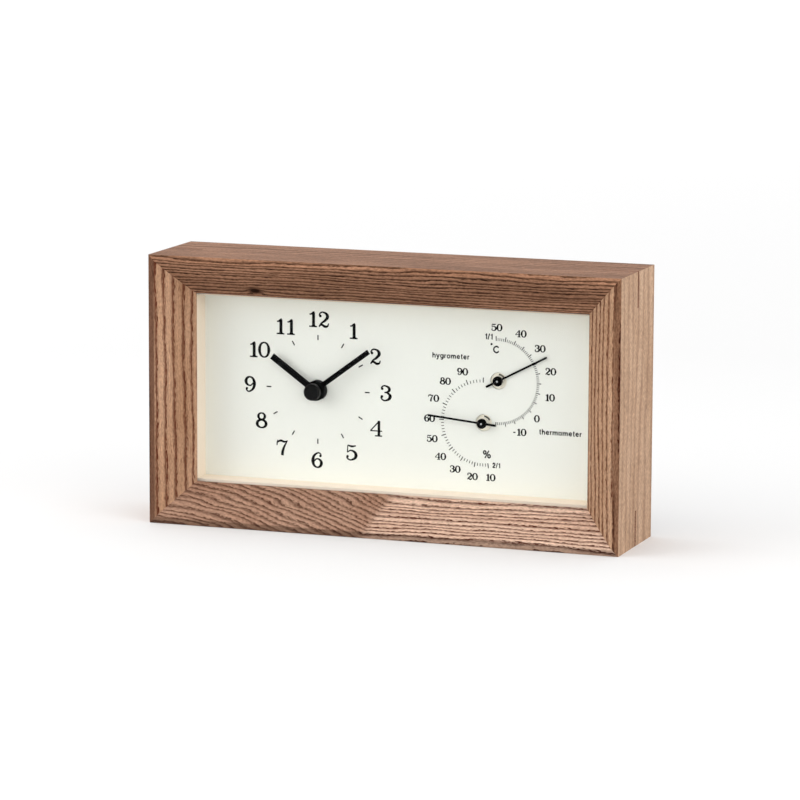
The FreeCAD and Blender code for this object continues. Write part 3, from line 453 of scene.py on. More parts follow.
# what all the wood shares: lengths in mm, shares of a ring from 0 to 1, spans of a noise's
# value, and tints as factors of red, green and blue
plainAsh = {
    # waves of the rings: their length, their reach and where they start in the noise
    "swayLength": 90, "sway": 6.0, "swayStart": 3.0,
    "rippleLength": 16, "ripple": 2.0, "rippleStart": 41.0,
    # the stretch where the lines run aslant, and the tone and the lines short of toneAt
    "slantFrom": 0, "slantTo": 1, "slantRise": 0.0, "slantSkew": 0.0, "slantCurve": 1.5,
    "toneAt": -500, "toneBlend": 3, "toneBefore": (1.0, 1.0, 1.0), "linesBefore": 1.0,
    # a pin knot: its heart, its reach each way, its push on the lines and its own darkness
    "knot": (0, -60, 0), "knotSize": (6, 3, 20), "knotPush": 0.0, "knotDark": 0.0,
    # years, and where in a ring the band of pores sets in and starts to fade
    "yearRhythm": 0.4, "uneven": 1.0, "poorYears": 0.2, "start": 0.08, "core": 0.26,
    # pores, how much they fray a band and stand out in it, and strays in the late wood
    "poreLength": 3.0, "poreWidth": 0.4, "poreDepth": 0.1, "poreEdge": (0.45, 0.56),
    "fray": 0.8, "dashes": 0.5, "stray": 0.35, "strayEdge": (0.58, 0.72),
    # stain in the wood beside the pores
    "soak": 0.2, "soakReach": 0.35, "soakCore": 0.05,
    # fibres, flecks and broad patches
    "fibreLength": 18, "fibreWidth": 0.35, "fibreTone": (0.86, 1.12), "fibreRelief": 0.25,
    "flecks": 0.14, "fleckLength": 1.3, "fleckWidth": 0.5, "fleckSpan": (0.35, 0.65),
    "patchSize": (48, 7, 12), "softSpan": (0.3, 0.7),
    # how dark the lines are, on the front and on the outer sides, and the tints of side and lip,
    # the side's tint partly a painted sheen
    "depth": 1.0, "outerLines": 0.3, "sideEdge": (0.02, 0.12), "outerToneAndSheen": (1.3, 1.3, 1.3),
    "lipWidth": 2.55, "lipBlend": 0.3, "lipTint": (1.0, 1.0, 1.0),
    "roughness": (0.5, 0.7), "relief": 0.55,
}
# each rail has its own palette, the top rail darker and the bottom rail paler: partly the wood's own
# tone and partly painted shade and light, as the top rail's bevel faces down and the bottom rail's
# faces up
ashRails = {
    "top_rail": {"axes": "XZY", "scale": fromHigh, "shift": (0, fullHeight, halfDepth),
                 "seed": 11.0, "ring": 1.64, "pith": (130, 90), "band": 0.62, "dashes": 0.35,
                 "pale": "A57A60", "warm": "85604A", "dark": "200C02", "flecks": 0.2, "ripple": 1.4,
                 "outerToneAndSheen": (0.97, 1.0, 1.03), "lipTint": (1.16, 1.14, 1.12),
                 "outerLines": 0.5, "fray": 0.5,
                 "knot": (-56.8, 13.7, 9), "knotSize": (6, 2.6, 7), "knotPush": 2.2, "knotDark": 1.2},
    "bottom_rail": {"axes": "XZY", "scale": fromLow, "shift": (0, 0, halfDepth),
                    "seed": 27.0, "ring": 1.8, "pith": (130, 90), "band": 0.62, "dashes": 0.5,
                    "pale": "E1C0A9", "warm": "CCA68E", "dark": "441204", "soak": 0.28,
                    "uneven": 0.7, "linesBefore": 0.8, "core": 0.3,
                    "slantFrom": -100, "slantTo": -8, "slantRise": 28.0, "slantSkew": 0.6,
                    "toneAt": -8, "toneBefore": (0.59, 0.515, 0.47), "poreLength": 2.0,
                    "lipTint": (0.53, 0.515, 0.505)},
    "left_stile": {"axes": "ZXY", "scale": fromLow, "shift": (0, halfWidth, halfDepth),
                   "seed": 43.0, "ring": 3.7, "pith": (129.6, 90), "band": 0.42, "core": 0.18,
                   "uneven": 0.5, "pale": "C0987B", "warm": "A98163", "dark": "4E1400",
                   "ripple": 1.0, "fray": 0.62, "poreLength": 2.8, "poreWidth": 0.42,
                   "dashes": 0.25, "soak": 0.3, "lipTint": (0.34, 0.285, 0.285),
                   "outerToneAndSheen": (1.0, 1.0, 1.0)},
    "right_stile": {"axes": "ZXY", "scale": fromHigh, "shift": (0, halfWidth, halfDepth),
                    "seed": 64.0, "ring": 2.94, "pith": (130, 90), "band": 0.46, "core": 0.2,
                    "uneven": 0.6, "pale": "BE997C", "warm": "A88265", "dark": "4C1A04",
                    "ripple": 1.2, "fray": 0.62, "poreLength": 2.8, "poreWidth": 0.42,
                    "dashes": 0.4, "lipTint": (0.475, 0.4, 0.375),
                    "outerToneAndSheen": (1.08, 1.165, 1.24), "outerLines": 0.35, "flecks": 0.2},
}
for rail, look in ashRails.items():
    dress(stainedAsh(rail.replace("_", " ") + " stained ash", {**plainAsh, **look}), rail)
keyLook = {**plainAsh, "axes": "XZY", "scale": fromLow, "shift": (0, 0, halfDepth),
           "seed": 5.0, "ring": 1.1, "pith": (120, 80), "band": 0.7,
           "pale": "8A5C45", "warm": "76492F", "dark": "472A1C"}
dress(stainedAsh("corner key stained ash", keyLook), "corner_splines")
print("ash frame dressed")


# card, board and softwood
# what all sheets share: the size of broad patches and how far fibres stand proud are in mm
sheetMake = {"patch": 60, "fibreShare": 0.6, "span": (0.5, 1.1), "relief": 0.25, "proud": 0.02}


def mattSheet(name, look):
    # card, foam and board: a matt sheet with a faint fibre that keeps it from looking like paint
    material, tree, shader = newMaterial(name, {"Roughness": look["roughness"], "IOR": 1.5,
                                                "Specular IOR Level": 0.25})
    place = addNode(tree, "ShaderNodeTexCoord")
    fine = addNode(tree, "ShaderNodeTexNoise",
                   {"Scale": 1 / (look["fibre"] * mm), "Detail": 3.0, "Roughness": 0.6},
                   {"Vector": place.outputs["Object"]})
    broad = addNode(tree, "ShaderNodeTexNoise",
                    {"Scale": 1 / (sheetMake["patch"] * mm), "Detail": 2.0},
                    {"Vector": place.outputs["Object"]})
    both = addNode(tree, "ShaderNodeMath", {1: sheetMake["fibreShare"]},
                   {0: fine.outputs[0], 2: broad.outputs[0]}, operation="MULTIPLY_ADD")
    mixed = addNode(tree, "ShaderNodeMapRange",
                    {"From Min": sheetMake["span"][0], "From Max": sheetMake["span"][1]},
                    {"Value": both.outputs[0]})
    colour = addNode(tree, "ShaderNodeMix",
                     {6: hexColour(look["light"]), 7: hexColour(look["shade"])},
                     {0: mixed.outputs[0]}, data_type="RGBA")
    bump = addNode(tree, "ShaderNodeBump",
                   {"Strength": sheetMake["relief"], "Distance": sheetMake["proud"] * mm},
                   {"Height": fine.outputs[0]})
    linkSockets(tree, shader, {"Base Color": colour.outputs[2], "Normal": bump.outputs[0]})
    return material


dialCard = mattSheet("printed dial card", {"light": "FAFDF6", "shade": "F6F9F1", "roughness": 0.62,
                                           "fibre": 0.5})
linerCard = mattSheet("cream mount board", {"light": "FEF1E0", "shade": "FCECD8", "roughness": 0.8,
                                            "fibre": 0.7})
padFoam = mattSheet("closed cell foam", {"light": "E9E9E4", "shade": "D9D9D2", "roughness": 0.9,
                                         "fibre": 0.4})
hardboard = mattSheet("tempered hardboard", {"light": "5A4130", "shade": "3F2C20",
                                             "roughness": 0.55, "fibre": 1.4})
dress(dialCard, "dial_board")
dress(linerCard, "top_liner", "bottom_liner", "left_liner", "right_liner")
dress(padFoam, "mounting_pad")
dress(hardboard, "back_panel")
# the battens are sawn pine: wide faint rings and no stray pores
battenLook = {**plainAsh, "axes": "XZY", "scale": fromLow, "shift": (0, 0, halfDepth),
              "seed": 9.0, "ring": 3.4, "pith": (60, 90), "band": 0.9, "depth": 0.35, "stray": 0.0,
              "pale": "D9B889", "warm": "CBA472", "dark": "A5713F"}
dress(stainedAsh("sawn pine", battenLook), "top_batten", "bottom_batten")
dress(stainedAsh("upright sawn pine", {**battenLook, "axes": "ZXY", "seed": 15.0}),
      "left_batten", "right_batten")
print("card and boards dressed")


# glass
# Clear float glass with an anti-glare coat: nearly invisible, so the black hands stay black.
# The sheet is as it was cut: its sharp edges ground off, and a hair thinner than its rabbet.
glassSheet = {"arris": 0.3, "play": 0.04, "smear": 35, "haze": 0.03}


def floatGlass():
    material, tree, shader = newMaterial("anti-glare float glass", {
        "Transmission Weight": 1.0, "IOR": 1.45, "Specular IOR Level": 0.1,
        "Specular Tint": hexColour("303234"), "Base Color": hexColour("FEFEFE")})
    place = addNode(tree, "ShaderNodeTexCoord")
    smear = addNode(tree, "ShaderNodeTexNoise",
                    {"Scale": 1 / (glassSheet["smear"] * mm), "Detail": 3.0},
                    {"Vector": place.outputs["Object"]})
    gloss = addNode(tree, "ShaderNodeMapRange", {"To Min": 0.0, "To Max": glassSheet["haze"]},
                    {"Value": smear.outputs[0]})
    linkSockets(tree, shader, {"Roughness": gloss.outputs[0]})
    # lamps reach the dial through it
    path = addNode(tree, "ShaderNodeLightPath")
    clear = addNode(tree, "ShaderNodeBsdfTransparent", {"Color": hexColour("FAFAFA")})
    both = addNode(tree, "ShaderNodeMixShader", {},
                   {0: path.outputs["Is Shadow Ray"], 1: shader.outputs[0], 2: clear.outputs[0]})
    putOnSurface(tree, both)
    return material


dress(floatGlass(), "glass_pane")
low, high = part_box("glass_pane")
sheet = startPiece(bpy.ops.mesh.primitive_cube_add, size=1, location=(low + high) / 2,
                   scale=high - low - Vector((0, 2 * glassSheet["play"] * mm, 0)))
sheet.name = "arrissed_glass"
bpy.ops.object.mode_set(mode="EDIT")
bpy.ops.mesh.select_all(action="SELECT")
bpy.ops.mesh.bevel(offset=glassSheet["arris"] * mm, segments=1)
bpy.ops.object.mode_set(mode="OBJECT")
finishPiece(sheet, "case", nodes["glass_pane"].material_slots[0].material)
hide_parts("glass_pane")
print("glass cut")


# metals and plastics
# what all metals share: patches of tarnish, the marks' depth, and how far a slot's shade starts
# outside and ends inside its wall, all in mm, with the spread of the gloss
plainMetal = {"bare": 1.0, "tarnish": 6, "markDepth": 0.01, "relief": 0.2, "gloss": (-0.08, 0.1),
              "slotBlend": (0.05, -0.1)}
# what all plastics share: flow marks, the depth of the tool's grain and the blur of a band's
# edge in mm, with the spread of the gloss
plainPlastic = {"ior": 1.5, "shine": 0.5, "flow": 14, "grainDepth": 0.02, "gloss": (-0.06, 0.06),
                "bandBlend": 0.1}


def finishSkin(tree, shader, colour, texture, look, depth):
    # the texture dulls the gloss here and there and stands out by its depth in mm
    gloss = addNode(tree, "ShaderNodeMapRange",
                    {"To Min": look["roughness"] + look["gloss"][0],
                     "To Max": look["roughness"] + look["gloss"][1]},
                    {"Value": texture.outputs[0]})
    bump = addNode(tree, "ShaderNodeBump", {"Strength": look["relief"], "Distance": depth * mm},
                   {"Height": texture.outputs[0]})
    linkSockets(tree, shader, {"Base Color": colour.outputs[2], "Roughness": gloss.outputs[0],
                               "Normal": bump.outputs[0]})


def workedMetal(name, look):
    # metal with the marks of how it was made: lathe rings, rolling lines or a brushed face
    look = {**plainMetal, **look}
    material, tree, shader = newMaterial(name, {"Metallic": look["bare"]})
    place = addNode(tree, "ShaderNodeTexCoord")
    lay = addNode(tree, "ShaderNodeMapping", {"Scale": [1 / (s * mm) for s in look["marks"]]},
                  {"Vector": place.outputs["Object"]})
    lines = addNode(tree, "ShaderNodeTexNoise", {"Scale": 1.0, "Detail": 3.0},
                    {"Vector": lay.outputs[0]})
    tarnish = addNode(tree, "ShaderNodeTexNoise",
                      {"Scale": 1 / (look["tarnish"] * mm), "Detail": 3.0},
                      {"Vector": place.outputs["Object"]})
    colour = addNode(tree, "ShaderNodeMix",
                     {6: hexColour(look["bright"]), 7: hexColour(look["dull"])},
                     {0: tarnish.outputs[0]}, data_type="RGBA")
    if "slotFrom" in look:
        # painted shade darkens the slots, which start just behind the face
        half = look["slotDepth"] / 2
        apart = addNode(tree, "ShaderNodeSeparateXYZ", links={0: place.outputs["Object"]})
        depth = addNode(tree, "ShaderNodeMath",
                        {1: look["slotFrom"] + (look["slotLip"] + half) * mm},
                        {0: apart.outputs["Y"]}, operation="SUBTRACT")
        depth = addNode(tree, "ShaderNodeMath", {}, {0: depth.outputs[0]}, operation="ABSOLUTE")
        inside = addNode(tree, "ShaderNodeMapRange",
                         {"From Min": (half + look["slotBlend"][0]) * mm,
                          "From Max": (half + look["slotBlend"][1]) * mm},
                         {"Value": depth.outputs[0]})
        colour = addNode(tree, "ShaderNodeMix", {7: hexColour(look["slotPaintedShade"])},
                         {0: inside.outputs[0], 6: colour.outputs[2]}, data_type="RGBA")
    finishSkin(tree, shader, colour, lines, look, look["markDepth"])
    return material


def mouldedPlastic(name, look):
    # moulded or sprayed skin: one colour with a fine grain from the tool and faint flow marks
    look = {**plainPlastic, **look}
    material, tree, shader = newMaterial(name, {"IOR": look["ior"],
                                                "Specular IOR Level": look["shine"]})
    place = addNode(tree, "ShaderNodeTexCoord")
    grain = addNode(tree, "ShaderNodeTexNoise",
                    {"Scale": 1 / (look["grain"] * mm), "Detail": 2.0},
                    {"Vector": place.outputs["Object"]})
    flow = addNode(tree, "ShaderNodeTexNoise",
                   {"Scale": 1 / (look["flow"] * mm), "Detail": 2.0},
                   {"Vector": place.outputs["Object"]})
    colour = addNode(tree, "ShaderNodeMix",
                     {6: hexColour(look["light"]), 7: hexColour(look["shade"])},
                     {0: flow.outputs[0]}, data_type="RGBA")
    if "bandFrom" in look:
        # a second colour printed round the end that the band starts from
        bandEnd = look["bandFrom"] + look["bandWidth"] * mm
        apart = addNode(tree, "ShaderNodeSeparateXYZ", links={0: place.outputs["Object"]})
        banded = addNode(tree, "ShaderNodeMapRange",
                         {"From Min": bandEnd + look["bandBlend"] * mm,
                          "From Max": bandEnd - look["bandBlend"] * mm},
                         {"Value": apart.outputs["X"]})
        colour = addNode(tree, "ShaderNodeMix", {7: hexColour(look["bandTone"])},
                         {0: banded.outputs[0], 6: colour.outputs[2]}, data_type="RGBA")
    finishSkin(tree, shader, colour, grain, look, look["grainDepth"])
    return material


brass = workedMetal("turned brass", {"bright": "FFFCEE", "dull": "FFF8E0", "roughness": 0.5,
                                     "marks": (0.2, 0.2, 0.2)})
# the bushes that show through the dial are only part metal and near white, partly a painted
# reflection of the white room in place of their own mirror
slottedBrass = workedMetal("slotted brass painted pale", {
    "bright": "FFFDF2", "dull": "FDF6DE", "roughness": 0.5, "marks": (0.2, 0.2, 0.2), "bare": 0.4,
    "slotFrom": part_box("thermometer_case")[0].y, "slotLip": 0.05, "slotDepth": 1.0,
    "slotPaintedShade": "2E2A14"})
bimetal = workedMetal("rolled bimetal", {"bright": "C9A872", "dull": "9A7B4C", "roughness": 0.38,
                                         "marks": (0.3, 3.0, 0.3)})
groundSteel = workedMetal("ground steel", {"bright": "C9CBCC", "dull": "A5A8AA", "roughness": 0.28,
                                           "marks": (0.1, 1.5, 0.1)})
zincSteel = workedMetal("zinc plated steel", {"bright": "CFD2D2", "dull": "AEB3B5",
                                              "roughness": 0.36, "marks": (0.3, 0.3, 0.3)})
nickel = workedMetal("nickel plated strip", {"bright": "D6D3CB", "dull": "B4B0A6",
                                             "roughness": 0.3, "marks": (2.0, 0.2, 2.0)})
softIron = workedMetal("soft iron lamination", {"bright": "9B9C9D", "dull": "77797B",
                                                "roughness": 0.45, "marks": (2.0, 2.0, 0.2)})
brightCan = workedMetal("drawn tin can", {"bright": "DADBDA", "dull": "B9BBBB", "roughness": 0.25,
                                          "marks": (1.5, 0.2, 0.2)})
copperWire = workedMetal("enamelled copper", {"bright": "B8683C", "dull": "8F4A28",
                                              "roughness": 0.32, "marks": (4.0, 4.0, 0.09)})
blackEnamel = mouldedPlastic("satin black enamel", {"light": "050505", "shade": "030303",
                                                    "grain": 0.25, "roughness": 0.6,
                                                    "relief": 0.1, "shine": 0.06})
blackGloss = mouldedPlastic("glossy black ABS", {"light": "060606", "shade": "030303",
                                                 "grain": 0.8, "roughness": 0.3, "relief": 0.05,
                                                 "shine": 0.1})
blackAbs = mouldedPlastic("black ABS", {"light": "1C1C1D", "shade": "151516", "grain": 0.3,
                                        "roughness": 0.5, "relief": 0.5})
acetal = mouldedPlastic("white acetal", {"light": "ECEBE4", "shade": "E2E1D9", "grain": 0.6,
                                         "roughness": 0.38, "relief": 0.15, "ior": 1.48})
ferrite = mouldedPlastic("grey ferrite", {"light": "3A3B3D", "shade": "2E2F31", "grain": 0.2,
                                          "roughness": 0.6, "relief": 0.4})
laminate = mouldedPlastic("green laminate", {"light": "2E6B3F", "shade": "225332", "grain": 0.4,
                                             "roughness": 0.4, "relief": 0.3})
resin = mouldedPlastic("black potting resin", {"light": "121212", "shade": "0B0B0B", "grain": 1.2,
                                               "roughness": 0.22, "relief": 0.1})
jacket = mouldedPlastic("printed cell jacket", {
    "light": "3C4349", "shade": "333A40", "grain": 0.5, "roughness": 0.32, "relief": 0.1,
    "bandFrom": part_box("battery_cell")[0].x, "bandWidth": 14, "bandTone": "B67C43"})

dress(blackEnamel, "hour_hand", "minute_hand", "thermometer_pointer", "hygrometer_pointer")
dress(blackGloss, "hub_cap")
dress(blackAbs, "movement_base", "movement_cover")
dress(acetal, "train_plate", "coil_bobbin", "rotor_pinion", "intermediate_wheel", "seconds_wheel",
      "third_wheel", "centre_wheel", "minute_works_wheel", "hour_wheel", "setting_stem",
      "setting_knob")
dress(brass, "minute_arbor", "thermometer_bridge", "hygrometer_bridge")
dress(slottedBrass, "thermometer_case", "hygrometer_case")
dress(bimetal, "thermometer_coil", "hygrometer_coil")
dress(groundSteel, "thermometer_spindle", "hygrometer_spindle")
dress(zincSteel, "back_panel_screws")
dress(nickel, "positive_contact", "negative_contact")
dress(softIron, "stator", "coil_core")
dress(copperWire, "coil_winding")
dress(brightCan, "quartz_crystal")
dress(laminate, "circuit_board")
dress(resin, "driver_chip")
dress(ferrite, "rotor_magnet")
dress(jacket, "battery_cell")
print("metals and plastics dressed")


# back panel screws
# countersunk wood screws with a cross recess, each left at its own angle by the driver
screw = {
    "headRadius": 2.8, "shankRadius": 1.4, "coreRadius": 1.0, "length": 13.0, "tip": 2.2,
    "recessWidth": 0.55, "recessLength": 3.1, "recessDepth": 0.9,
    "threadPitch": 1.1, "threadTurns": 7, "threadRidge": 0.42, "threadSink": 0.95,
    "turns": (12, 71, 38, 55),
}


def driveCross(head):
    # two crossed cuts with a cube that is thrown away afterwards
    for size in ((screw["recessLength"], screw["recessWidth"]),
                 (screw["recessWidth"], screw["recessLength"])):
        deselectAll()
        bpy.ops.mesh.primitive_cube_add(
            size=1, scale=(size[0] * mm, size[1] * mm, 2 * screw["recessDepth"] * mm))
        cutter = bpy.context.object
        bpy.context.view_layer.objects.active = head
        bpy.ops.object.modifier_add(type="BOOLEAN")
        head.modifiers[-1].operation = "DIFFERENCE"
        head.modifiers[-1].object = cutter
        bpy.ops.object.modifier_apply(modifier=head.modifiers[-1].name)
        bpy.data.objects.remove(cutter)


def turnThread():
    # one small triangle, its root sunk into the core, carried round by a screw modifier
    ridge = startPiece(bpy.ops.mesh.primitive_circle_add, vertices=3,
                       radius=screw["threadRidge"] * mm, rotation=(math.pi / 2, 0, 0),
                       location=(screw["coreRadius"] * mm, 0,
                                 (screw["tip"] - screw["length"]) * mm))
    ridge.data.transform(Matrix.Diagonal((screw["threadSink"], 1, 1, 1)))
    bpy.ops.object.modifier_add(type="SCREW")
    sweep = ridge.modifiers[-1]
    sweep.axis = "Z"
    sweep.screw_offset = screw["threadPitch"] * mm
    sweep.iterations = screw["threadTurns"]
    sweep.steps = sweep.render_steps = 16
    bpy.ops.object.modifier_apply(modifier=sweep.name)
    return ridge


def woodScrew():
    sink = screw["headRadius"] - screw["shankRadius"]
    body = screw["length"] - sink - screw["tip"]
    head = startPiece(bpy.ops.mesh.primitive_cone_add, vertices=32,
                      radius1=screw["shankRadius"] * mm, radius2=screw["headRadius"] * mm,
                      depth=sink * mm, location=(0, 0, -sink / 2 * mm))
    driveCross(head)
    shank = startPiece(bpy.ops.mesh.primitive_cylinder_add, vertices=24,
                       radius=screw["coreRadius"] * mm, depth=body * mm,
                       location=(0, 0, -(sink + body / 2) * mm))
    point = startPiece(bpy.ops.mesh.primitive_cone_add, vertices=24, radius1=0,
                       radius2=screw["coreRadius"] * mm, depth=screw["tip"] * mm,
                       location=(0, 0, (screw["tip"] / 2 - screw["length"]) * mm))
    return joinPieces([head, shank, point, turnThread()], "screw")


low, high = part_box("back_panel_screws")
edge = screw["headRadius"] * mm
corners = [(x, z) for x in (low.x + edge, high.x - edge) for z in (low.z + edge, high.z - edge)]
pattern = woodScrew()
screws = []
for turn, (x, z) in zip(screw["turns"], corners):
    copy = copyPiece(pattern)
    copy.data.transform(Matrix.Translation((x, high.y, z)) @ Matrix.Rotation(-math.pi / 2, 4, "X")
                        @ Matrix.Rotation(math.radians(turn), 4, "Z"))
    screws.append(copy)
bpy.data.objects.remove(pattern)
screws = finishPiece(joinPieces(screws, "crossed_screws"), "case", zincSteel)
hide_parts("back_panel_screws")
print("screws driven")


# cell
# an AA cell: a plastic jacket shrunk over the can, and the bare steel ends
cell = {
    "nubRadius": 2.75, "nubLength": 1.3, "nubRound": 0.35, "rimRound": 0.7, "lip": 0.9,
    "recess": 0.35, "step": 0.05, "discRadius": 5.4, "discThickness": 0.2,
}
low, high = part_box("battery_cell")
middle = (low + high) / 2
radius = (high.z - low.z) / 2
shoulder = low.x + cell["nubLength"] * mm
wrap = startPiece(bpy.ops.mesh.primitive_cylinder_add, vertices=48, radius=radius,
                  depth=high.x - shoulder, rotation=(0, math.pi / 2, 0),
                  location=((shoulder + high.x) / 2, middle.y, middle.z))
wrap.name = "shrunk_jacket"
# the rims are the edges that don't run along the cell, and the ends are the faces across it
selectParts(wrap, "EDGE", lambda edge: abs(edge.verts[0].co.x - edge.verts[1].co.x) < 0.01 * mm)
bpy.ops.mesh.bevel(offset=cell["rimRound"] * mm, segments=3)
selectParts(wrap, "FACE", lambda face: abs(face.normal.x) > 0.999)
bpy.ops.mesh.inset(thickness=cell["lip"] * mm)
bpy.ops.mesh.inset(thickness=cell["step"] * mm, depth=-cell["recess"] * mm)
bpy.ops.object.mode_set(mode="OBJECT")
finishPiece(wrap, "cell", jacket)
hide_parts("battery_cell")

terminals = [startPiece(bpy.ops.mesh.primitive_cylinder_add, vertices=40,
                        radius=cell["discRadius"] * mm, depth=cell["discThickness"] * mm,
                        location=(end, middle.y, middle.z), rotation=(0, math.pi / 2, 0))
             for end in (shoulder + cell["recess"] * mm, high.x - cell["recess"] * mm)]
# the nub rises from the first disc's outer face
nubRise = (cell["nubLength"] + cell["recess"] - cell["discThickness"] / 2) * mm
selectParts(terminals[0], "FACE", lambda face: face.normal.x < -0.999)
bpy.ops.mesh.inset(thickness=(cell["discRadius"] - cell["nubRadius"]) * mm)
bpy.ops.mesh.extrude_region_move(TRANSFORM_OT_translate={"value": (-nubRise, 0, 0)})
bpy.ops.mesh.bevel(offset=cell["nubRound"] * mm, segments=3)
bpy.ops.object.mode_set(mode="OBJECT")
terminals = finishPiece(joinPieces(terminals, "steel_terminals"), "cell", nickel)
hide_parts("battery_cell")
print("cell wrapped")


# print on the dial
# screen-printed ink: a matt film, slightly uneven, on the face of the card
def printInk(name, light, shade):
    return mouldedPlastic(name, {"light": light, "shade": shade, "grain": 0.15, "roughness": 0.6,
                                 "relief": 0.2, "shine": 0.08})


blackInk = printInk("black dial ink", "0A0A09", "10100E")
greyInk = printInk("grey scale ink", "2E2E2B", "383834")

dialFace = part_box("dial_board")[0].y
inkDepth = 0.03 * mm

# each numeral is drawn as pen strokes in a box one unit high: x, y and half the pen's width
numeralStrokes = {
    "0": {"width": 0.78, "loops": [[(0.705, 0.5, 0.075), (0.39, 0.967, 0.033),
                                    (0.075, 0.5, 0.075), (0.39, 0.033, 0.033)]]},
    "1": {"width": 0.52, "strokes": [[(0.29, 0.03, 0.072), (0.29, 0.93, 0.072)],
                                     [(0.29, 0.03, 0.14), (0.29, 0.14, 0.06)],
                                     [(0.0, 0.032, 0.032), (0.52, 0.032, 0.032)],
                                     [(0.02, 0.8, 0.03), (0.16, 0.83, 0.04), (0.27, 0.91, 0.06),
                                      (0.345, 1.0, 0.012)]]},
    "2": {"width": 0.74, "dots": [(0.14, 0.72, 0.088)],
          "strokes": [[(0.062, 0.74, 0.035), (0.14, 0.91, 0.035), (0.34, 0.965, 0.035),
                       (0.62, 0.72, 0.078), (0.46, 0.45, 0.058), (0.2, 0.25, 0.04),
                       (0.05, 0.03, 0.034)],
                      [(0.06, 0.06, 0.02), (0.22, 0.165, 0.048), (0.46, 0.06, 0.06),
                       (0.61, 0.085, 0.045), (0.7, 0.27, 0.022)]]},
    "3": {"width": 0.757, "dots": [(0.14, 0.775, 0.085), (0.12, 0.28, 0.09)],
          "strokes": [[(0.075, 0.81, 0.03), (0.17, 0.93, 0.033), (0.36, 0.965, 0.035),
                       (0.62, 0.755, 0.072), (0.49, 0.575, 0.045), (0.29, 0.54, 0.027)],
                      [(0.29, 0.545, 0.022), (0.5, 0.515, 0.04), (0.67, 0.29, 0.08),
                       (0.36, 0.035, 0.035), (0.14, 0.1, 0.035), (0.055, 0.24, 0.035)]]},
    "4": {"width": 0.804, "strokes": [[(0.6, 0.97, 0.03), (0.03, 0.36, 0.026)],
                                      [(0.0, 0.345, 0.027), (0.8, 0.345, 0.027)],
                                      [(0.585, 0.03, 0.062), (0.585, 1.0, 0.062)],
                                      [(0.32, 0.032, 0.03), (0.8, 0.032, 0.03)]]},
    "5": {"width": 0.776, "dots": [(0.12, 0.25, 0.085)],
          "strokes": [[(0.13, 0.965, 0.03), (0.4, 0.905, 0.05), (0.68, 0.955, 0.028)],
                      [(0.135, 0.97, 0.025), (0.112, 0.5, 0.027)],
                      [(0.112, 0.515, 0.024), (0.36, 0.645, 0.035), (0.69, 0.33, 0.08),
                       (0.36, 0.035, 0.035), (0.14, 0.1, 0.035), (0.055, 0.22, 0.035)]]},
    "6": {"width": 0.73, "dots": [(0.59, 0.775, 0.08)],
          "strokes": [[(0.645, 0.8, 0.03), (0.58, 0.92, 0.033), (0.41, 0.965, 0.035),
                       (0.08, 0.45, 0.08), (0.37, 0.035, 0.035), (0.655, 0.31, 0.076),
                       (0.4, 0.585, 0.033), (0.12, 0.38, 0.03)]]},
    "7": {"width": 0.776, "strokes": [[(0.03, 0.62, 0.02), (0.045, 0.8, 0.03), (0.09, 0.98, 0.022)],
                                      [(0.075, 0.84, 0.03), (0.28, 0.94, 0.055),
                                       (0.53, 0.875, 0.045), (0.745, 0.95, 0.02)],
                                      [(0.75, 0.97, 0.018), (0.55, 0.62, 0.045),
                                       (0.43, 0.3, 0.062), (0.39, 0.0, 0.068)]]},
    "8": {"width": 0.759, "loops": [[(0.6, 0.765, 0.064), (0.38, 0.97, 0.03),
                                     (0.16, 0.765, 0.064), (0.38, 0.55, 0.042)],
                                    [(0.685, 0.28, 0.073), (0.38, 0.53, 0.042),
                                     (0.075, 0.28, 0.073), (0.38, 0.033, 0.033)]]},
    "-": {"width": 0.34, "strokes": [[(0.0, 0.42, 0.045), (0.34, 0.42, 0.045)]]},
}
# the space before and after a figure in a number
numeralGap = {"1": (0.15, 0.04), "0": (0.02, 0.03), "-": (0.0, 0.1)}
plainGap = (0.05, 0.05)


def penStroke(points, closed, weight):
    # a flat ribbon: the curve's extrude turned into the sheet, its width set point by point
    deselectAll()
    bpy.ops.curve.primitive_bezier_curve_add()
    stroke = bpy.context.object
    line = stroke.data.splines[0]
    line.bezier_points.add(len(points) - 2)
    for knot, (x, y, pen) in zip(line.bezier_points, points):
        knot.co = (x, y, 0)
        knot.radius = pen * weight
        knot.tilt = math.pi / 2
        knot.handle_left_type = knot.handle_right_type = "AUTO"
    line.use_cyclic_u = closed
    stroke.data.extrude = 1
    stroke.data.resolution_u = 6
    bpy.ops.object.convert(target="MESH")
    return bpy.context.object


def penDot(x, y, radius):
    return startPiece(bpy.ops.mesh.primitive_circle_add, vertices=20, radius=radius,
                      fill_type="NGON", location=(x, y, 0))


def drawSign(shape, weight):
    parts = [penStroke(points, False, weight) for points in shape.get("strokes", [])]
    parts += [penStroke(points, True, weight) for points in shape.get("loops", [])]
    parts += [penDot(x, y, radius) for x, y, radius in shape.get("dots", [])]
    return joinPieces(parts, "sign")


def strokesOf(character):
    # a nine is a six turned over
    return numeralStrokes["6" if character == "9" else character]


def drawNumeral(character, weight):
    shape = strokesOf(character)
    numeral = drawSign(shape, weight)
    if character == "9":
        turn = Matrix.Translation((shape["width"], 1, 0)) @ Matrix.Rotation(math.pi, 4, "Z")
        numeral.data.transform(turn)
    return numeral


def numeralSet(weight):
    return {character: drawNumeral(character, weight) for character in "0123456789-"}


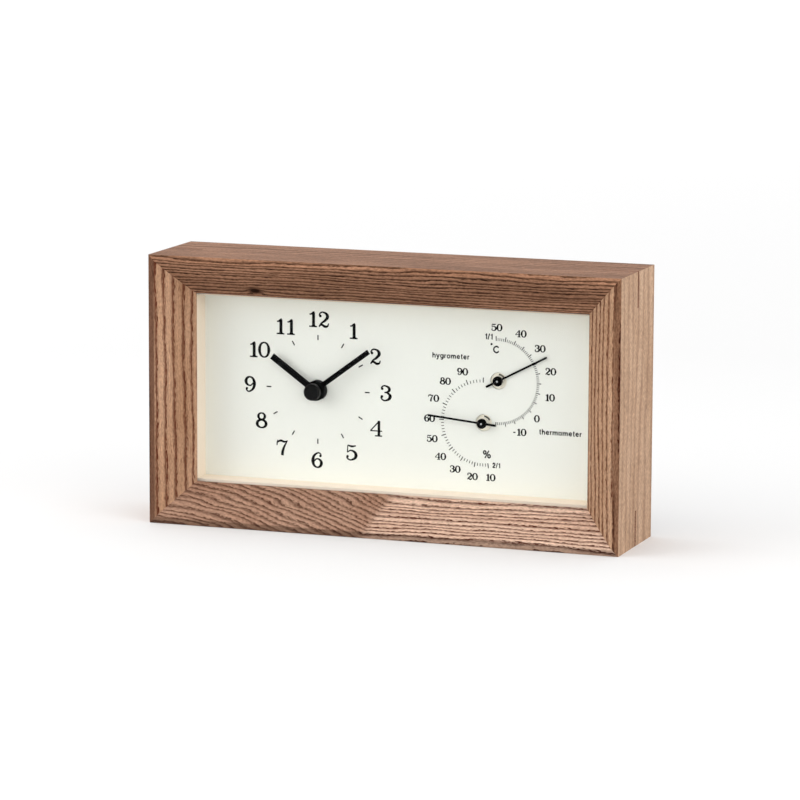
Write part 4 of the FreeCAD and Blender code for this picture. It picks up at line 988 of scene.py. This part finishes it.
def writeNumber(numerals, text, height, centre):
    # copies of the drawn numerals side by side, centred on a point of the dial
    copies = []
    pen = 0.0
    for character in text:
        before, after = numeralGap.get(character, plainGap)
        pen += before if copies else 0.0
        copy = copyPiece(numerals[character])
        copy.data.transform(Matrix.Translation((pen, 0, 0)))
        copies.append(copy)
        pen += strokesOf(character)["width"] + after
    number = joinPieces(copies, "number " + text)
    width = pen - after
    number.data.transform(Matrix.Translation((-width / 2, -0.5, 0)))
    number.data.transform(Matrix.Diagonal((height * mm, height * mm, height * mm, 1)))
    number.data.transform(onDial(centre))
    return number


def onDial(centre):
    # turns a flat shape drawn in x and y to face the front, at a point of the dial in mm
    place = Vector((centre[0] * mm, dialFace - inkDepth, centre[1] * mm))
    return Matrix.Translation(place) @ Matrix.Rotation(math.pi / 2, 4, "X")


def writeWord(alphabet, text, width, centre):
    # plain lettering in one row, scaled to its width in mm
    letters = []
    pen = 0.0
    for character in text:
        letter = copyPiece(alphabet[character])
        letter.data.transform(Matrix.Translation((pen, 0, 0)))
        letters.append(letter)
        pen += letterStrokes[character]["width"] + letterGap
    word = joinPieces(letters, "word " + text)
    xs = [v.co.x for v in word.data.vertices]
    ys = [v.co.y for v in word.data.vertices]
    middle = Vector(((min(xs) + max(xs)) / 2, (min(ys) + max(ys)) / 2, 0))
    size = width * mm / (max(xs) - min(xs))
    word.data.transform(onDial(centre) @ Matrix.Scale(size, 4) @ Matrix.Translation(-middle))
    return word


inkPatch = startPiece(bpy.ops.mesh.primitive_plane_add, size=1)


def scaleTick(centre, bearing, inner, outer, thickness):
    # one printed line that points out from the scale's centre, bearing in degrees from +X
    tick = copyPiece(inkPatch)
    shape = (onDial(centre) @ Matrix.Rotation(math.radians(bearing), 4, "Z")
             @ Matrix.Translation(((inner + outer) / 2 * mm, 0, 0))
             @ Matrix.Diagonal(((outer - inner) * mm, thickness * mm, mm, 1)))
    tick.data.transform(shape)
    return tick


def printOnDial(shapes, name, ink):
    finishPiece(joinPieces(shapes, name), "case", ink)


def throwAway(drawn):
    for sign in drawn.values():
        bpy.data.objects.remove(sign)


hourRing = {
    "centre": (-35.2, 55.4), "height": 6.45, "weight": 1.4,
    "tickInner": 20.35, "tickOuter": 22.4, "tickThickness": 0.5,
    # set out one by one, so that the pairs of figures look centred on their ticks
    "spots": {12: (-34.66, 84.26), 1: (-19.75, 80.28), 2: (-10.35, 70.3), 3: (-5.85, 55.59),
              4: (-9.92, 40.87), 5: (-20.54, 30.25), 6: (-35.52, 26.22), 7: (-50.75, 30.47),
              8: (-59.82, 41.2), 9: (-64.81, 55.92), 10: (-60.55, 70.45), 11: (-49.24, 80.53)},
}
bigNumerals = numeralSet(hourRing["weight"])
hourMarks = []
hourTicks = []
for hour, spot in hourRing["spots"].items():
    hourMarks.append(writeNumber(bigNumerals, str(hour), hourRing["height"], spot))
    hourTicks.append(scaleTick(hourRing["centre"], 90 - 30 * hour, hourRing["tickInner"],
                               hourRing["tickOuter"], hourRing["tickThickness"]))
printOnDial(hourMarks, "hour_numerals", blackInk)
printOnDial(hourTicks, "hour_ticks", blackInk)
throwAway(bigNumerals)
print("clock numerals printed")

# centres, radii and spots in mm, bearings in degrees
thermometerScale = {
    "centre": (41.73, 63.12), "lowest": -20, "highest": 50, "topBearing": 92.3, "perDegree": 2.63,
    "inner": 16.5, "short": 17.65, "long": 18.4, "shortThickness": 0.26, "longThickness": 0.36,
    "labels": {"50": (41.22, 85.03), "40": (51.38, 83.03), "30": (59.48, 77.45),
               "20": (64.04, 68.44), "10": (63.91, 57.9), "0": (58.46, 49.05),
               "-10": (51.27, 43.15)},
    "height": 2.8, "step": 1, "longEvery": 5,
}
hygrometerScale = {
    "centre": (35.58, 45.91), "lowest": 10, "highest": 100, "topBearing": 89.5,
    "perTen": 23.3, "crowding": 0.26,
    "inner": 16.5, "short": 17.7, "long": 18.5, "shortThickness": 0.28, "longThickness": 0.38,
    "labels": {"90": (26.94, 66.31), "80": (19.64, 62.05), "70": (14.64, 54.82),
               "60": (12.97, 46.5), "50": (14.1, 38.25), "40": (17.73, 31.18),
               "30": (23.99, 26.36), "20": (31.39, 23.83), "10": (39.2, 23.88)},
    "height": 2.8, "step": 2, "longEvery": 10,
}
smallWeight = 1.85


def thermometerBearing(degrees):
    return thermometerScale["topBearing"] - thermometerScale["perDegree"] * (
        thermometerScale["highest"] - degrees)


def hygrometerBearing(percent):
    # the strip answers less and less in dry air, so the marks crowd together there
    tens = (hygrometerScale["highest"] - percent) / 10
    return hygrometerScale["topBearing"] + hygrometerScale["perTen"] * tens - (
        hygrometerScale["crowding"] * tens ** 2)


# long ticks are black, and the short ones between them grey
smallNumerals = numeralSet(smallWeight)
for name, scale, bearingOf in (("thermometer", thermometerScale, thermometerBearing),
                               ("hygrometer", hygrometerScale, hygrometerBearing)):
    ticks = {"long": [], "short": []}
    for reading in range(scale["lowest"], scale["highest"] + 1, scale["step"]):
        kind = "short" if reading % scale["longEvery"] else "long"
        ticks[kind].append(scaleTick(scale["centre"], bearingOf(reading), scale["inner"],
                                     scale[kind], scale[kind + "Thickness"]))
    labels = [writeNumber(smallNumerals, text, scale["height"], spot)
              for text, spot in scale["labels"].items()]
    printOnDial(ticks["long"], name + "_long_ticks", blackInk)
    printOnDial(ticks["short"], name + "_short_ticks", greyInk)
    printOnDial(labels, name + "_numerals", blackInk)
throwAway(smallNumerals)

# the plain letters of the words: small ones are one unit high, tall ones 1.42
letterGap = 0.26
letterWeight = 1.45
letterStrokes = {
    "o": {"width": 0.92, "loops": [[(0.46, 0.91, 0.1), (0.83, 0.5, 0.1), (0.46, 0.09, 0.1),
                                    (0.09, 0.5, 0.1)]]},
    "e": {"width": 0.88, "strokes": [[(0.1, 0.5, 0.08), (0.8, 0.5, 0.08)],
                                     [(0.8, 0.48, 0.1), (0.45, 0.91, 0.1), (0.09, 0.5, 0.1),
                                      (0.46, 0.09, 0.1), (0.78, 0.25, 0.1)]]},
    "r": {"width": 0.46, "strokes": [[(0.1, 0.0, 0.1), (0.1, 1.0, 0.1)],
                                     [(0.1, 0.5, 0.1), (0.2, 0.82, 0.1), (0.46, 0.91, 0.1)]]},
    "m": {"width": 1.36, "strokes": [[(0.1, 0.0, 0.1), (0.1, 1.0, 0.1)],
                                     [(0.1, 0.55, 0.1), (0.38, 0.91, 0.1), (0.66, 0.6, 0.1),
                                      (0.67, 0.0, 0.1)],
                                     [(0.68, 0.55, 0.1), (0.96, 0.91, 0.1), (1.24, 0.6, 0.1),
                                      (1.25, 0.0, 0.1)]]},
    "t": {"width": 0.46, "strokes": [[(0.22, 1.3, 0.1), (0.22, 0.3, 0.1), (0.29, 0.1, 0.1),
                                      (0.46, 0.08, 0.1)], [(0.0, 0.93, 0.08), (0.46, 0.93, 0.08)]]},
    "h": {"width": 0.82, "strokes": [[(0.1, 0.0, 0.1), (0.1, 1.42, 0.1)],
                                     [(0.1, 0.55, 0.1), (0.41, 0.91, 0.1), (0.71, 0.6, 0.1),
                                      (0.72, 0.0, 0.1)]]},
    "y": {"width": 0.84, "strokes": [[(0.04, 1.0, 0.1), (0.43, 0.06, 0.1)],
                                     [(0.8, 1.0, 0.1), (0.44, 0.0, 0.1), (0.3, -0.31, 0.1),
                                      (0.06, -0.34, 0.1)]]},
    "g": {"width": 0.9, "loops": [[(0.45, 0.91, 0.1), (0.8, 0.5, 0.1), (0.45, 0.09, 0.1),
                                   (0.09, 0.5, 0.1)]],
          "strokes": [[(0.8, 1.0, 0.1), (0.8, 0.0, 0.1), (0.47, -0.34, 0.1), (0.13, -0.24, 0.1)]]},
    "C": {"width": 1.2, "strokes": [[(1.12, 1.08, 0.1), (0.66, 1.32, 0.1), (0.1, 0.7, 0.1),
                                     (0.66, 0.08, 0.1), (1.15, 0.38, 0.1)]]},
    "1": {"width": 0.5, "strokes": [[(0.4, 0.0, 0.1), (0.4, 1.42, 0.1)],
                                    [(0.04, 1.04, 0.07), (0.26, 1.12, 0.07), (0.4, 1.36, 0.07)]]},
    "2": {"width": 0.8, "strokes": [[(0.08, 0.98, 0.12), (0.4, 1.31, 0.12), (0.7, 1.0, 0.12),
                                     (0.42, 0.52, 0.12), (0.1, 0.1, 0.12)],
                                    [(0.04, 0.1, 0.11), (0.78, 0.1, 0.11)]]},
    "/": {"width": 0.42, "strokes": [[(0.0, -0.05, 0.09), (0.42, 1.45, 0.09)]]},
    "%": {"width": 1.46, "loops": [[(0.3, 1.34, 0.09), (0.53, 1.04, 0.09), (0.3, 0.74, 0.09),
                                    (0.07, 1.04, 0.09)],
                                   [(1.14, 0.68, 0.09), (1.37, 0.38, 0.09), (1.14, 0.08, 0.09),
                                    (0.91, 0.38, 0.09)]],
          "strokes": [[(0.34, 0.0, 0.08), (1.1, 1.42, 0.08)]]},
}
# each word with its width and its middle, in mm
dialWords = [("hygrometer", 15.7, (21.9, 72.1)), ("thermometer", 17.7, (68.4, 43.85)),
             ("1/1", 3.2, (37.95, 81.2)), ("2/1", 3.3, (41.5, 28.95)), ("C", 2.6, (41.05, 76.1)),
             ("%", 3.4, (37.5, 33.25))]
degreeDot = {"radius": 0.45, "spot": (39.1, 78.2)}
alphabet = {letter: drawSign(shape, letterWeight) for letter, shape in letterStrokes.items()}
words = [writeWord(alphabet, text, width, spot) for text, width, spot in dialWords]
throwAway(alphabet)
words.append(penDot(0, 0, degreeDot["radius"] * mm))
words[-1].data.transform(onDial(degreeDot["spot"]))
printOnDial(words, "dial_words", blackInk)
bpy.data.objects.remove(inkPatch)
print("scales printed")


# studio
# all in metres and watts
studio = {
    "floorColour": "E7E7E7", "floorSize": 12, "worldStrength": 0.8,
    # the paper's own glow, near the clock and far from it
    "nearGlow": 0.03, "farGlow": 0.4, "nearReach": 0.5, "farReach": 2.5,
    # the point that all lamps face, and each lamp's place, size and power
    "aim": (0, 0, 0.05),
    "lamps": {
        "left softbox": ((-1.7, -0.15, 0.9), 1.2, 5.0),
        "left front softbox": ((-1.3, -1.1, 1.2), 1.2, 5.0),
        "low left front softbox": ((-1.4, -1.1, 0.45), 0.8, 4.0),
        "right softbox": ((1.7, -0.5, 0.6), 1.0, 6.0),
        "right front softbox": ((1.3, -1.2, 1.1), 1.2, 3.4),
        "low right front softbox": ((1.5, -1.1, 0.45), 0.8, 1.6),
        "overhead softbox": ((0.0, -0.1, 1.8), 1.6, 9.0),
    },
}


def seenRays(tree):
    # 1 for rays of the camera and those that metal and glass pass on, 0 for all others
    path = addNode(tree, "ShaderNodeLightPath")
    seen = path.outputs["Is Camera Ray"]
    for ray in ("Is Glossy Ray", "Is Transmission Ray"):
        seen = addNode(tree, "ShaderNodeMath", {}, {0: seen, 1: path.outputs[ray]},
                       operation="MAXIMUM").outputs[0]
    return seen


floor = startPiece(bpy.ops.mesh.primitive_plane_add, size=studio["floorSize"])
floor.name = "floor"
material, tree, shader = newMaterial("matt white paper sweep", {
    "Roughness": 0.9, "Base Color": hexColour(studio["floorColour"])})
place = addNode(tree, "ShaderNodeTexCoord")
away = addNode(tree, "ShaderNodeVectorMath", {}, {0: place.outputs["Object"]}, operation="LENGTH")
reach = addNode(tree, "ShaderNodeMapRange",
                {"From Min": studio["nearReach"], "From Max": studio["farReach"],
                 "To Min": studio["nearGlow"], "To Max": studio["farGlow"]},
                {"Value": away.outputs["Value"]})
glow = addNode(tree, "ShaderNodeMath", {}, {0: seenRays(tree), 1: reach.outputs[0]},
               operation="MULTIPLY")
light = addNode(tree, "ShaderNodeEmission", {}, {"Strength": glow.outputs[0]})
both = addNode(tree, "ShaderNodeAddShader", {}, {0: shader.outputs[0], 1: light.outputs[0]})
putOnSurface(tree, both)
floor.data.materials.append(material)
floor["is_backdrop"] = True

world = bpy.data.worlds.new("white studio")
world.use_nodes = True
bpy.context.scene.world = world
tree = world.node_tree
tree.nodes.clear()
strength = addNode(tree, "ShaderNodeMapRange", {"To Min": studio["worldStrength"], "To Max": 1.0},
                   {"Value": seenRays(tree)})
sky = addNode(tree, "ShaderNodeBackground", {"Color": (1, 1, 1, 1)},
              {"Strength": strength.outputs[0]})
addNode(tree, "ShaderNodeOutputWorld", links={"Surface": sky.outputs[0]})

for name, (place, size, watts) in studio["lamps"].items():
    deselectAll()
    bpy.ops.object.light_add(type="AREA", location=place)
    lamp = bpy.context.object
    lamp.name = name
    lamp.data.shape = "SQUARE"
    lamp.data.size = size
    lamp.data.energy = watts
    toAim = Vector(studio["aim"]) - Vector(place)
    lamp.rotation_euler = toAim.to_track_quat("-Z", "Y").to_euler()
bpy.context.scene.view_settings.view_transform = "Standard"
print("studio lit")

low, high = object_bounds()
